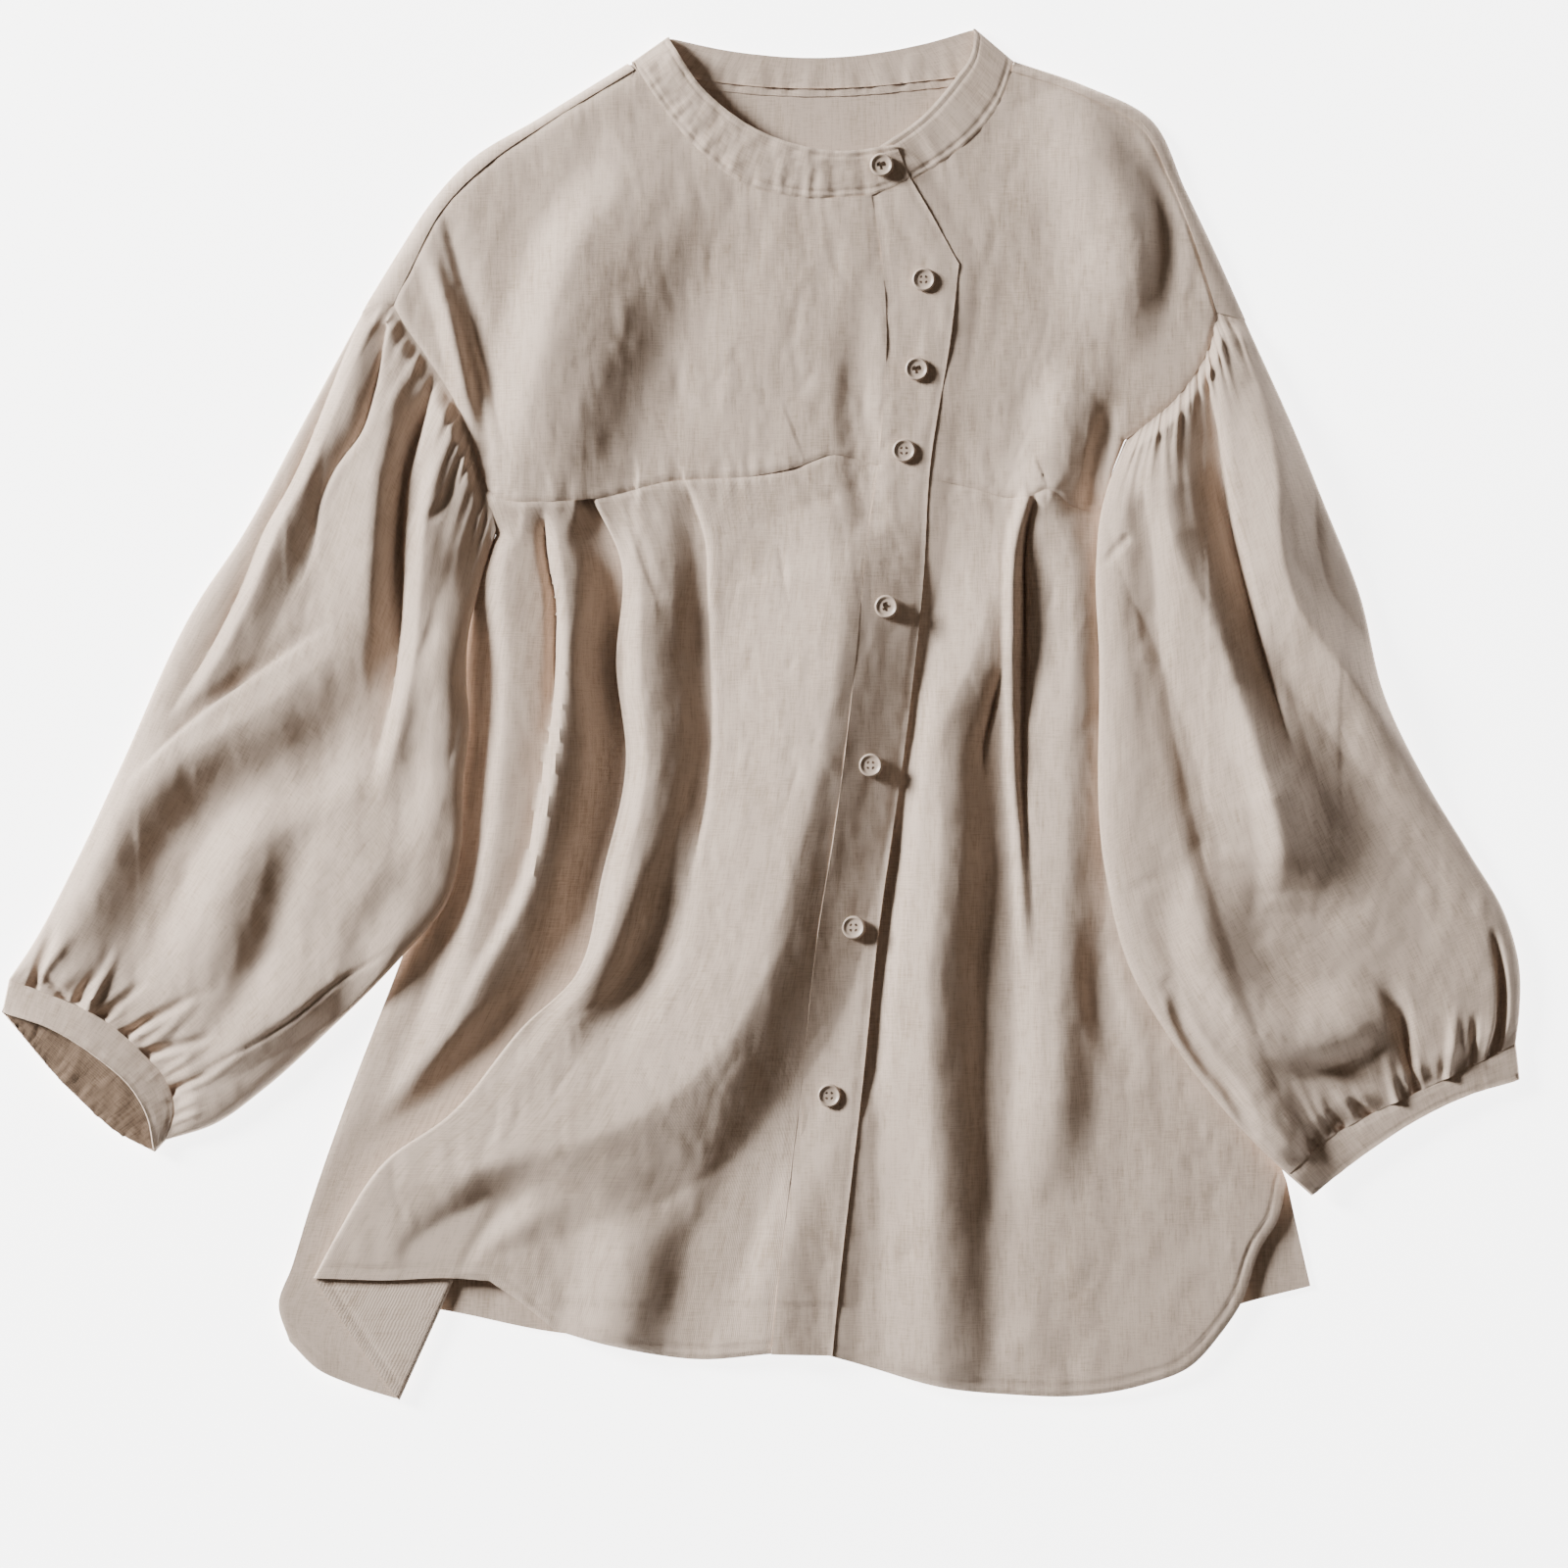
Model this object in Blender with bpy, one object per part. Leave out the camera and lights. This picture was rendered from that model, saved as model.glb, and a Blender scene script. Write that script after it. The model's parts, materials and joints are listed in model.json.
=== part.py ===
"""A linen shirt with a band collar and lantern sleeves, laid flat on its back.

Plan sizes are millimetres on an 800 mm square board under the shirt: "across" runs to the
right and "down" runs towards the hem, both from the board's upper left corner. Heights are
millimetres above the board, to the middle of the cloth. Right and left are the wearer's, so
the right front is on the side of the small across values.
"""
import math
from collections import namedtuple

import bmesh
import bpy
import numpy as np

MM = 0.001
ORIGIN_ACROSS = 388.45    # the board point under the part's origin
ORIGIN_DOWN = 364.45

# ---------------------------------------------------------------- driving sizes
WALL = 1.5                # cloth wall
SEAM_GAP = 0.3            # between two pieces at a seam
HIDDEN_GAP = 0.9          # at the back's armholes, which nothing shows
LAYER_STEP = 2.1          # from the middle of one pressed layer to the next
SHARP_SPREAD = 7.0        # a fold that spreads less than this on one side is a crease
STEEPEST = 0.55           # least cosine used when a sloping wall is thickened upwards

BACK_LEVEL = WALL / 2     # the back lies on the board
REST_LEVEL = 3.4          # a front's edge, just above the back
ROLL_LEVEL = 3.0          # the widest line of a rolled edge
ARMHOLE_LEVEL = 5.2
RIGHT_FRONT_LEVEL = 8.2
LEFT_FRONT_LEVEL = 6.2
UNDERLAP_LEVEL = 3.6      # the button stand below the placket
SLEEVE_LEVEL = 11.0
SLEEVE_LIFT = 8.5         # where a sleeve lies on the body
SLEEVE_LOWEST = 5.2
RIGHT_FRONT_LOWEST = 5.7
BAND_STAND = 2.6          # the collar band's top edge stands this much above its seam
TURN = 1.1                # a folded layer's middle, in from the fold's outer line
TURN_WIDE = 1.6

WRAP_START = 1.6          # the back's cloth leaves the board this far in from a shoulder
WRAP_RISE = 0.6           # a wrapped shoulder bulges this much above a straight rise
NECK_LOWEST = 0.6         # the band's button end stays this much above the plain front
SEAM_MARGIN = 0.3         # what a button clears the cloth under it by
TUBE_RISE = 1.4           # the top layer of a flattened tube, above its rolled edges
SEWN_OPENING = 2.2        # a cuff's further rise in the middle, at its seam
OPEN_MOUTH = 5.0          # the same at the open cuff's mouth

PLEAT_COVER = 12.0        # the main skirt is held up this far in from the pleat's inner fold
PLEAT_CLEAR = 2.3         # how far it stays above the pleat folded under it
FLAT_BY_PLEAT = 4.5       # the side part is pressed flat this far out from the pleat
FLAT_BY_FLAP = 8.0        # and this much further where the pleat opens out
FLAP_START = 500.0        # down; the pleat begins to open out here
FLAP_REACH = 50.0
SEAM_REACH = 26.0         # the side part comes up to the yoke's height within this of the seam
SIDE_RISE = 14.0          # how far it takes to rise from the flat strip
SIDE_RISE_SEAM = 6.0      # the same at the yoke seam
STAND_FLAT = 5.0          # the left front lies at the stand's height this far from it
STAND_RISE = 10.0
PLACKET_LIFT = 2.2        # the button band's free edge clears the stand by this much more
SHOULDER_REACH = 20.0     # a front comes up to its own height this far in from the shoulder fold
BUTTON_LIFT = 1.1         # the lowest seat of a button above the right front's lowest cloth

CAP_REACH = 14.0          # a sleeve takes this far to leave the armhole's height
CUFF_REACH = 20.0
SLEEVE_ROLL = 24.0        # how far in a sleeve's rolled edge reaches
LIFT_RIGHT_IN = 24.0      # the sleeves are lifted over the body from this far outside its edge
LIFT_LEFT_OUT = 26.0
LIFT_RIGHT_REACH = 22.0
LIFT_LEFT_REACH = 24.0
LIFT_RIGHT_FROM = 285.0   # down; the lift begins below the armhole
LIFT_RIGHT_LENGTH = 50.0
LIFT_LEFT_FROM = 226.0
LIFT_LEFT_LENGTH = 26.0

BAND_BUTTON_SHARE = 0.75  # how far up the band's stand its button sits

BUTTON_DIAMETER = 12.0
BUTTON_THICKNESS = 2.6
BUTTON_RIM = 1.3
BUTTON_CHAMFER = 0.8
BUTTON_DISH = 0.8
BUTTON_ROUND = 0.6
BUTTON_HOLE = 1.3
BUTTON_HOLE_SPACING = 2.6
BUTTON_SIDES = 14
HOLE_SIDES = 6
HOLE_CORNERS = [(-1, -1), (1, -1), (1, 1), (-1, 1)]

# ---------------------------------------------------------------- outlines (across, down)
SHOULDER_RIGHT = [(320.5, 33.3), (275.5, 61), (238.5, 84), (222, 102), (204, 129), (186.5, 157.5)]
SHOULDER_LEFT = [(519.7, 33), (553, 44.5), (587.5, 62.5), (604, 97), (622, 135), (635, 164)]
FORWARD_SEAM_RIGHT = [(324, 36.5), (277.5, 65), (252.5, 82), (227.5, 106), (209, 140), (201, 156)]
FORWARD_SEAM_LEFT = [(516, 37), (551, 49), (583, 67), (597, 93), (609.5, 125), (620.5, 160)]

ARMHOLE_RIGHT = [(201, 156), (207.5, 167.5), (217, 181), (235.5, 211.5), (243, 232), (247.5, 250)]
UNDERARM_RIGHT = [(247.5, 250), (250.5, 260), (253.5, 272.5)]
ARMHOLE_LEFT = [(620.5, 162), (615.5, 179.5), (603.5, 199), (583.5, 217.5), (573.5, 225)]
UNDERARM_LEFT = [(573.5, 225), (567, 242), (562.5, 262)]

NECK_SEAM_RIGHT = [(322.5, 32), (338, 55.5), (357.5, 78.5), (378, 94), (410, 101.5), (444.5, 100.5)]
BAND_TOP_RIGHT = [(340.5, 19.5), (359, 46.5), (386, 67), (427.5, 78), (457, 75)]
BAND_END_SEAM = [(444.5, 100.5), (457, 96), (464, 91.5)]
NECK_SEAM_LEFT = [(517.5, 32), (510, 52.5), (498, 69), (485, 80), (461, 95.5)]
BAND_TOP_LEFT = [(497.5, 15), (495.5, 27.5), (485, 43.5), (471.5, 59), (447, 77)]
BAND_TOP_BACK = [(340.5, 19.5), (371.5, 26), (424.5, 29.5), (475.5, 21.5), (497.5, 15)]
NECK_SEAM_BACK = [(322.5, 32), (341, 41.5), (361.5, 45.5), (415, 49.5), (467.5, 46), (499, 41), (517.5, 32)]

YOKE_SEAM_RIGHT = [(247.5, 250), (259, 256), (277, 256.5), (302.5, 255), (342, 246), (382.5, 243.5),
                   (406, 239), (425, 232.5), (448, 238)]
YOKE_SEAM_LEFT = [(470, 243), (490.5, 248), (526, 253.5), (533, 250.5), (547.5, 259), (562.5, 262)]

PLACKET_SEAM_YOKE = [(444.5, 100.5), (448.5, 122.5), (452, 160), (450, 216), (448, 238)]
PLACKET_SEAM_SKIRT = [(448, 238), (442, 280), (436, 340), (425, 428), (418, 471), (407.5, 566),
                      (398.5, 642), (393.5, 690)]
PLACKET_CORNER = [(464, 91.5), (474.5, 109.5), (489, 135.5)]
PLACKET_EDGE = [(489, 135.5), (485.5, 167.5), (474, 241.5), (471, 293.5), (461.5, 380.5), (448.5, 471.5),
                (438.5, 566), (429.5, 642), (424.5, 691)]
PLACKET_HEM = [(393.5, 690), (409, 690.5), (424.5, 691)]
UNDERLAP_TOP = [(461, 95.5), (470, 111), (484.5, 136.5)]
UNDERLAP_YOKE = [(484.5, 136.5), (481, 167.5), (470, 243)]
UNDERLAP_SKIRT = [(470, 243), (466.5, 293.5), (457, 380.5), (444, 471.5), (434, 566), (425, 642), (420, 690)]
UNDERLAP_WIDTH = 24.0

SIDE_RIGHT = [(253.5, 272.5), (245.5, 315.5), (241, 338.5), (235, 380), (225, 433), (205.5, 488),
              (178.5, 558), (158, 617), (149, 646.5), (142.5, 665), (148, 684)]
SIDE_LEFT = [(562.5, 262), (570, 290), (579, 340), (593, 410), (614, 490), (640, 560), (656, 602)]
PLEAT_EDGE = [(302.5, 255), (316.5, 285), (314.5, 340), (319.5, 388.5), (307.5, 446), (293.5, 498),
              (268, 522.5), (229.5, 568.5), (196.5, 592.5), (172, 630), (160.5, 651.5)]
PLEAT_INNER = [(308.5, 254.5), (322.5, 285), (325, 340), (330, 388.5), (325, 446), (316, 498),
               (300, 530), (268, 585), (244, 622), (228, 659), (203.5, 713.5)]
HEM_MAIN = [(160.5, 651.5), (195, 652.5), (231, 651.5), (250, 653)]
HEM_MAIN_RISE = [(250, 653), (266, 664), (283, 678)]
HEM_MAIN_LOW = [(283, 678), (312.5, 686), (357, 693), (393.5, 690)]
HEM_FLAP = [(160.5, 651.5), (180, 681), (203.5, 713.5)]
HEM_SIDE = [(203.5, 713.5), (178.5, 705.5), (163, 698.5), (148, 684)]
HEM_LEFT = [(420, 690), (443.5, 697), (481.5, 707.5), (515, 711), (553, 711.5), (583.5, 706),
            (606.5, 697), (622, 680.5), (632.5, 665), (642.5, 637), (651.5, 622), (656, 602)]
BACK_SIDE_RIGHT = [(253, 273), (245, 315.5), (241, 345), (236, 380), (226, 433), (206, 488),
                   (179, 558), (158.5, 617), (150, 645)]
BACK_HEM = [(150, 645), (172, 662), (224.5, 668), (283, 679.5), (350, 684), (450, 688), (560, 684),
            (612, 672), (635, 664.5), (668.5, 656)]
BACK_VENT_LEFT = [(656.5, 603), (662, 628), (668.5, 656)]

SLEEVE_CAP_RIGHT = [(186.5, 157.5), (201, 156)]
SLEEVE_CAP_LEFT = [(635, 164), (620.5, 162)]
SLEEVE_OUTER_RIGHT = [(186.5, 157.5), (153, 219.5), (122.5, 275.5), (102, 306), (61, 393), (38.5, 441),
                      (15.5, 484), (5, 499.5)]
SLEEVE_INNER_RIGHT = [(253, 273), (245, 300), (239.5, 325), (238.5, 345), (240, 370), (237, 400),
                      (236, 433), (229.5, 458.5), (205.5, 488), (166, 527.5), (135, 555.5), (109.5, 573.5),
                      (85, 581.5)]
CUFF_SEAM_RIGHT = [(5, 499.5), (25.5, 507), (51, 518.5), (71.5, 535), (86, 552.5), (89.5, 567), (85, 581.5)]
SLEEVE_OUTER_LEFT = [(635, 164), (660, 219.5), (675.5, 257.5), (693.5, 303.5), (706, 354.5), (728, 400),
                     (749.5, 435.5), (767.5, 466.5), (775, 494.5), (775, 515), (773, 532)]
SLEEVE_INNER_LEFT = [(573.5, 226), (566, 245), (562, 258), (558.5, 291), (560, 331.5), (563.5, 446),
                     (576, 494.5), (591.5, 522.5), (617, 558), (642.5, 586), (656, 598.5)]
CUFF_SEAM_LEFT = [(773, 532), (760.5, 538.5), (722, 557), (699, 568), (679.5, 579), (656, 598.5)]

CUFF_EDGE_RIGHT = [(1.5, 516), (25.5, 523.5), (51, 539), (69, 555.5), (76.5, 570), (79.5, 587.5)]
CUFF_UNDER_RIGHT = [(1.5, 516), (38.5, 558), (62.5, 578.5), (79.5, 587.5)]
CUFF_EDGE_LEFT = [(775, 550.5), (748.5, 558.5), (724, 570), (699, 586), (668.5, 609.5)]

# ---------------------------------------------------------------- folds and edges
# course: plan points from the top down; rise: height at even steps along it, above or below
# the cloth around; left and right: how far it spreads on each side of its course
Fold = namedtuple("Fold", "name course rise left right")
# course: the edge; level: height there; reach: how far in the cloth comes up to its own
# height; hold: share of that height which the edge itself keeps
Edge = namedtuple("Edge", "course level reach hold")

RIGHT_FRONT_FOLDS = [
    Fold("armhole ridge", [(216, 122), (231, 178), (241, 222)], (0, 7, 0), 9, 8),
    Fold("shoulder valley", [(229, 108), (240, 163), (253, 204), (255, 270)], (0, -5, -5, -4), 11, 14),
    Fold("yoke crest", [(320, 60), (293, 122), (276, 153), (270, 204), (262, 262)], (0, 8, 9, 8), 16, 40),
    Fold("neck valley", [(385, 95), (341, 163), (320, 204), (300, 262)], (0, -5, -5, -3), 30, 36),
    Fold("placket hollow", [(437, 150), (434, 205), (440, 270)], (0, -3, -2), 12, 10),
    Fold("second pleat", [(350, 240), (360, 275), (362, 330), (363, 380), (352, 450)],
         (3, 9, 10, 7, 0), 4, 72),
    Fold("second pleat valley", [(350, 258), (355, 320), (356, 380), (343, 450)], (0, -6, -6, 0), 16, 5),
    Fold("deep pleat ridge", [(318, 275), (321, 350), (325, 392), (314, 446), (300, 500)],
         (0, 6, 7, 5, 0), 9, 26),
    Fold("wide ridge",
         [(402, 280), (403, 350), (397, 400), (386, 460), (368, 525), (320, 565), (225, 603)],
         (0, 4, 7, 8, 7, 5, 0), 30, 16),
    Fold("placket valley",
         [(442, 290), (433, 380), (420, 450), (406, 515), (388, 575), (362, 635), (344, 700)],
         (0, -6, -8, -9, -8, -5), 16, 22),
    Fold("band by the pleat", [(333, 415), (306, 484), (262, 560)], (0, 4, 0), 10, 14),
    Fold("lower ridge", [(316, 590), (321, 640), (322, 700)], (0, 5, 3), 20, 16),
]
SIDE_FOLDS = [
    Fold("side ridge", [(258, 250), (254, 320), (258, 385), (251, 450), (224, 520), (184, 610)],
         (6, 8, 8, 6, 5, 0), 11, 24),
    Fold("first pleat", [(277, 250), (286, 300), (289, 345), (282, 400), (266, 450), (244, 500)],
         (3, 10, 11, 9, 6, 0), 6, 11),
    Fold("lower side ridge", [(252, 465), (228, 525), (202, 575), (176, 635)], (0, 4, 4, 0), 12, 18),
]
LEFT_FRONT_FOLDS = [
    Fold("shoulder ridge", [(551, 62), (572, 107), (573, 143), (556, 200)], (0, 7, 7, 0), 24, 16),
    Fold("armhole valley", [(589, 80), (590, 150), (600, 200)], (0, -4, -2), 12, 13),
    Fold("chest ridge", [(556, 172), (537, 215), (529, 262)], (0, 8, 6), 15, 13),
    Fold("underarm valley", [(561, 205), (551, 250), (551, 310)], (0, -3, 0), 11, 9),
    Fold("placket ridge",
         [(478, 262), (487, 332), (476, 425), (461, 502), (460, 560), (469, 630), (465, 700)],
         (0, 7, 9, 8, 7, 6, 3), 11, 17),
    Fold("centre valley", [(506, 320), (497, 430), (490, 500), (490, 570), (485, 630), (490, 705)],
         (0, -3, -3, -2), 13, 14),
    Fold("pleat ridge", [(527, 240), (516, 300), (514, 400), (517, 470), (531, 560), (543, 625)],
         (2, 9, 9, 8, 5, 0), 9, 6),
    Fold("pleat plateau", [(536, 250), (540, 310), (535, 370), (540, 450), (550, 535)],
         (2, 6, 6, 5, 0), 15, 17),
    Fold("lower ridge", [(513, 545), (512, 610), (514, 700)], (0, 4, 3), 20, 26),
]
SLEEVE_FOLDS_RIGHT = [
    Fold("outer fold", [(190, 150), (176, 190), (152, 245), (126, 300), (100, 350)],
         (2, 6, 6, 3, 0), 4, 16),
    Fold("cap ridge", [(206, 155), (188, 215), (178, 270), (163, 315), (140, 352)],
         (3, 9, 9, 6, 0), 13, 10),
    Fold("cap valley", [(224, 185), (206, 235), (200, 285), (195, 330), (184, 385)],
         (-2, -6, -6, -5, 0), 10, 7),
    Fold("inner ridge",
         [(230, 195), (217, 262), (211, 310), (204, 355), (194, 400), (178, 455), (140, 510)],
         (3, 9, 9, 8, 6, 5, 0), 7, 22),
    Fold("elbow fold", [(186, 308), (143, 340), (122, 350), (76, 388)], (0, 5, 5, 0), 9, 16),
    Fold("elbow valley", [(188, 330), (140, 385), (90, 430), (56, 492)], (0, -5, -5, -3), 15, 20),
    Fold("lantern ridge", [(136, 405), (117, 440), (100, 480), (78, 520)], (0, 7, 7, 3), 13, 12),
    Fold("lantern valley", [(158, 385), (145, 440), (132, 475), (106, 525)], (0, -4, -5, -2), 10, 10),
]
SLEEVE_FOLDS_LEFT = [
    Fold("inner ridge", [(584, 212), (590, 247), (598, 285), (612, 330), (618, 380), (612, 440)],
         (2, 7, 8, 8, 5, 0), 14, 10),
    Fold("inner valley", [(581, 232), (582, 300), (580, 350), (588, 400)], (0, -4, -4, 0), 9, 9),
    Fold("middle ridge", [(600, 205), (611, 252), (612, 305), (623, 345), (645, 405)],
         (3, 8, 8, 6, 0), 10, 6),
    Fold("deep valley", [(618, 190), (621, 300), (633, 345), (656, 388), (672, 430), (668, 480)],
         (-2, -8, -8, -8, -6, 0), 9, 11),
    Fold("outer ridge", [(626, 165), (632, 245), (642, 290), (657, 332), (682, 370), (716, 420)],
         (3, 8, 9, 8, 5, 0), 10, 13),
    Fold("outer valley", [(648, 205), (659, 285), (674, 312), (706, 358)], (0, -4, -4, 0), 6, 12),
    Fold("lantern valley", [(690, 400), (656, 450), (634, 500)], (0, -5, 0), 18, 18),
    Fold("lantern ridge", [(606, 405), (604, 470), (620, 503), (650, 519), (692, 516), (714, 485)],
         (0, 6, 6, 6, 0), 12, 16),
]

# across and down of each button's middle, from the collar to the hem
BUTTONS = [(449.5, 85.5), (471, 143.5), (467.5, 189), (461, 230.5), (452, 310), (444, 390.5),
           (435.5, 473), (423, 558.5)]

LINEN = (0.53, 0.43, 0.36, 1.0)
BUTTON_COLOUR = (0.50, 0.41, 0.33, 1.0)


# ---------------------------------------------------------------- curves and sheets of points
CURVE_STEPS = 24
COURSE_STEPS = 8
SNAP_PLACES = 240
SNAP_SHARE = 0.55         # a point moves to a crease no further off than this share of its spacing


def smooth(points, steps=CURVE_STEPS):
    """A smooth curve through the points, finely sampled."""
    knots = np.array(points, float)
    if len(knots) < 3:
        return knots
    spans = np.linalg.norm(np.diff(knots, axis=0), axis=1)
    slopes = np.diff(knots, axis=0) / spans[:, None]
    weights = spans[:-1, None] + spans[1:, None]
    inner = (slopes[:-1] * spans[1:, None] + slopes[1:] * spans[:-1, None]) / weights
    tangents = np.vstack([slopes[:1], inner, slopes[-1:]])
    pieces = []
    for i, span in enumerate(spans):
        t = np.linspace(0, 1, steps, endpoint=False)[:, None]
        pieces.append((2 * t**3 - 3 * t**2 + 1) * knots[i] + (t**3 - 2 * t**2 + t) * tangents[i] * span
                      + (3 * t**2 - 2 * t**3) * knots[i + 1] + (t**3 - t**2) * tangents[i + 1] * span)
    return np.vstack(pieces + [knots[-1:]])


def spaced(curve, shares):
    """Points at the given shares of a curve's length."""
    lengths = np.concatenate([[0], np.cumsum(np.linalg.norm(np.diff(curve, axis=0), axis=1))])
    at = np.asarray(shares) * lengths[-1]
    return np.stack([np.interp(at, lengths, curve[:, k]) for k in range(curve.shape[1])], axis=1)


def run(pieces, counts):
    """Even points along several curves in a row, keeping the corner between each two."""
    parts = [spaced(smooth(piece), np.linspace(0, 1, count + 1)[:-1]) for piece, count in zip(pieces, counts)]
    return np.vstack(parts + [np.array(pieces[-1][-1:], float)])


def backwards(points):
    return points[::-1]


def fill(top, bottom, left, right):
    """A sheet of plan points between four edges; rows run across and columns run down."""
    u = np.linspace(0, 1, len(top))[None, :, None]
    v = np.linspace(0, 1, len(left))[:, None, None]
    ruled = (1 - v) * top[None] + v * bottom[None] + (1 - u) * left[:, None] + u * right[:, None]
    corners = ((1 - u) * (1 - v) * top[0] + u * (1 - v) * top[-1]
               + (1 - u) * v * bottom[0] + u * v * bottom[-1])
    return ruled - corners


def inset(sheet, gaps):
    """Draw a sheet's four edges in: gaps are for its top, bottom, left and right."""
    moved = sheet.copy()
    for line, neighbour, gap in ((np.s_[0], np.s_[1], gaps[0]), (np.s_[-1], np.s_[-2], gaps[1]),
                                 (np.s_[:, 0], np.s_[:, 1], gaps[2]), (np.s_[:, -1], np.s_[:, -2], gaps[3])):
        inward = sheet[neighbour] - sheet[line]
        inward /= np.maximum(np.linalg.norm(inward, axis=-1, keepdims=True), 1e-6)
        along = np.gradient(sheet[line], axis=0)
        along /= np.maximum(np.linalg.norm(along, axis=-1, keepdims=True), 1e-6)
        square = np.abs(inward[:, 0] * along[:, 1] - inward[:, 1] * along[:, 0])[:, None]
        moved[line] += inward * gap / np.maximum(square, 0.5)
    return moved


def snap(plan, folds):
    """Move inner points onto the courses of the sharp folds, so that a crease runs along them."""
    moved = plan.copy()
    for fold in folds:
        if min(fold.left, fold.right) > SHARP_SPREAD:
            continue
        line = spaced(smooth(fold.course, COURSE_STEPS), np.linspace(0, 1, SNAP_PLACES))
        for row in range(1, plan.shape[0] - 1):
            gaps = np.linalg.norm(plan[row, 1:-1, None] - line[None], axis=2)
            column, place = np.unravel_index(np.argmin(gaps), gaps.shape)
            pitch = np.linalg.norm(plan[row, column + 2] - plan[row, column]) / 2
            if 0 < place < SNAP_PLACES - 1 and gaps[column, place] < SNAP_SHARE * pitch:
                moved[row, column + 1] = line[place]
    return moved


# ---------------------------------------------------------------- heights
def nearest(plan, course):
    """Signed distance to a course (right of it is positive) and the share of its length passed."""
    line = smooth(course, COURSE_STEPS)
    starts, ends = line[:-1], line[1:]
    spans = np.linalg.norm(ends - starts, axis=1)
    passed = np.concatenate([[0], np.cumsum(spans)])
    flat = plan.reshape(-1, 2)
    best = np.full(len(flat), np.inf)
    signed = np.zeros(len(flat))
    share = np.zeros(len(flat))
    for start, end, span, before in zip(starts, ends, spans, passed):
        way = (end - start) / max(span, 1e-9)
        offset = flat - start
        step = np.clip(offset @ way, 0, span)
        gap = np.linalg.norm(offset - step[:, None] * way, axis=1)
        side = np.sign(way[1] * offset[:, 0] - way[0] * offset[:, 1])
        closer = gap < best
        best = np.where(closer, gap, best)
        signed = np.where(closer, gap * side, signed)
        share = np.where(closer, (before + step) / passed[-1], share)
    return signed.reshape(plan.shape[:-1]), share.reshape(plan.shape[:-1])


def ease(share):
    share = np.clip(share, 0, 1)
    return share * share * (3 - 2 * share)


def fold_height(plan, fold):
    signed, share = nearest(plan, fold.course)
    rise = np.interp(share, np.linspace(0, 1, len(fold.rise)), fold.rise)
    spread = np.where(signed < 0, fold.left, fold.right)
    return rise * 0.5 * (1 + np.cos(np.pi * np.clip(np.abs(signed) / spread, 0, 1)))


def edge_height(plan, height, edge):
    distance = np.abs(nearest(plan, edge.course)[0])
    short = 1 - np.clip(distance / edge.reach, 0, 1)
    roll = np.sqrt(np.clip(1 - short**2, 0, 1))
    return edge.level + (height - edge.level) * (edge.hold + (1 - edge.hold) * roll)


def relief(plan, level, folds, edges, lowest):
    """The height of a panel's cloth at each plan point."""
    height = np.full(plan.shape[:-1], float(level))
    for fold in folds:
        height = height + fold_height(plan, fold)
    height = np.maximum(height, lowest)
    for edge in edges:
        height = edge_height(plan, height, edge)
    return height


RIGHT_EDGES = [Edge(SHOULDER_RIGHT, ROLL_LEVEL, 20, 0), Edge(ARMHOLE_RIGHT, ARMHOLE_LEVEL, 18, 0.35)]
LEFT_EDGES = [Edge(SHOULDER_LEFT, ROLL_LEVEL, 20, 0), Edge(ARMHOLE_LEFT, ARMHOLE_LEVEL, 18, 0.35),
              Edge(UNDERARM_LEFT, REST_LEVEL, 14, 0.3), Edge(SIDE_LEFT, REST_LEVEL, 34, 0),
              Edge(HEM_LEFT, REST_LEVEL, 12, 0.45)]


def right_front(plan):
    return relief(plan, RIGHT_FRONT_LEVEL, RIGHT_FRONT_FOLDS, RIGHT_EDGES, RIGHT_FRONT_LOWEST)


def main_skirt(plan):
    """The right skirt's top layer, kept above the pleat that is folded under it."""
    signed, _ = nearest(plan, PLEAT_INNER)
    cover = np.clip(1 - signed / PLEAT_COVER, 0, 1)
    lowest = RIGHT_FRONT_LOWEST + cover * (REST_LEVEL + LAYER_STEP + PLEAT_CLEAR - RIGHT_FRONT_LOWEST)
    height = np.maximum(right_front(plan), lowest)
    hem = Edge(HEM_MAIN + HEM_MAIN_RISE[1:] + HEM_MAIN_LOW[1:], REST_LEVEL, 12, 0.55)
    return np.maximum(edge_height(plan, height, hem), np.where(cover > 0, lowest, REST_LEVEL))


def left_front(plan):
    height = relief(plan, LEFT_FRONT_LEVEL, LEFT_FRONT_FOLDS, LEFT_EDGES, REST_LEVEL + 0.6)
    below = np.abs(nearest(plan, UNDERLAP_TOP + UNDERLAP_YOKE[1:] + UNDERLAP_SKIRT[1:])[0])
    return height + (UNDERLAP_LEVEL - height) * ease(1 - (below - STAND_FLAT) / STAND_RISE)


def side_part(plan):
    """The right skirt's side part, pressed flat where the pleat lies on it."""
    edges = [Edge(SIDE_RIGHT, REST_LEVEL, 12, 0), Edge(UNDERARM_RIGHT, REST_LEVEL, 12, 0.2),
             Edge(HEM_SIDE, REST_LEVEL, 12, 0.4)]
    height = relief(plan, REST_LEVEL + 2.0, SIDE_FOLDS, edges, REST_LEVEL)
    signed, _ = nearest(plan, PLEAT_EDGE + HEM_FLAP[1:])
    from_seam = np.abs(nearest(plan, YOKE_SEAM_RIGHT)[0])
    near_seam = ease(1 - from_seam / SEAM_REACH)
    height = height + (right_front(plan) - height) * near_seam
    flat = FLAT_BY_PLEAT + FLAT_BY_FLAP * ease((plan[..., 1] - FLAP_START) / FLAP_REACH)
    reach = SIDE_RISE + (SIDE_RISE_SEAM - SIDE_RISE) * near_seam
    return REST_LEVEL + (height - REST_LEVEL) * ease((-signed - flat) / reach)


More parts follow.
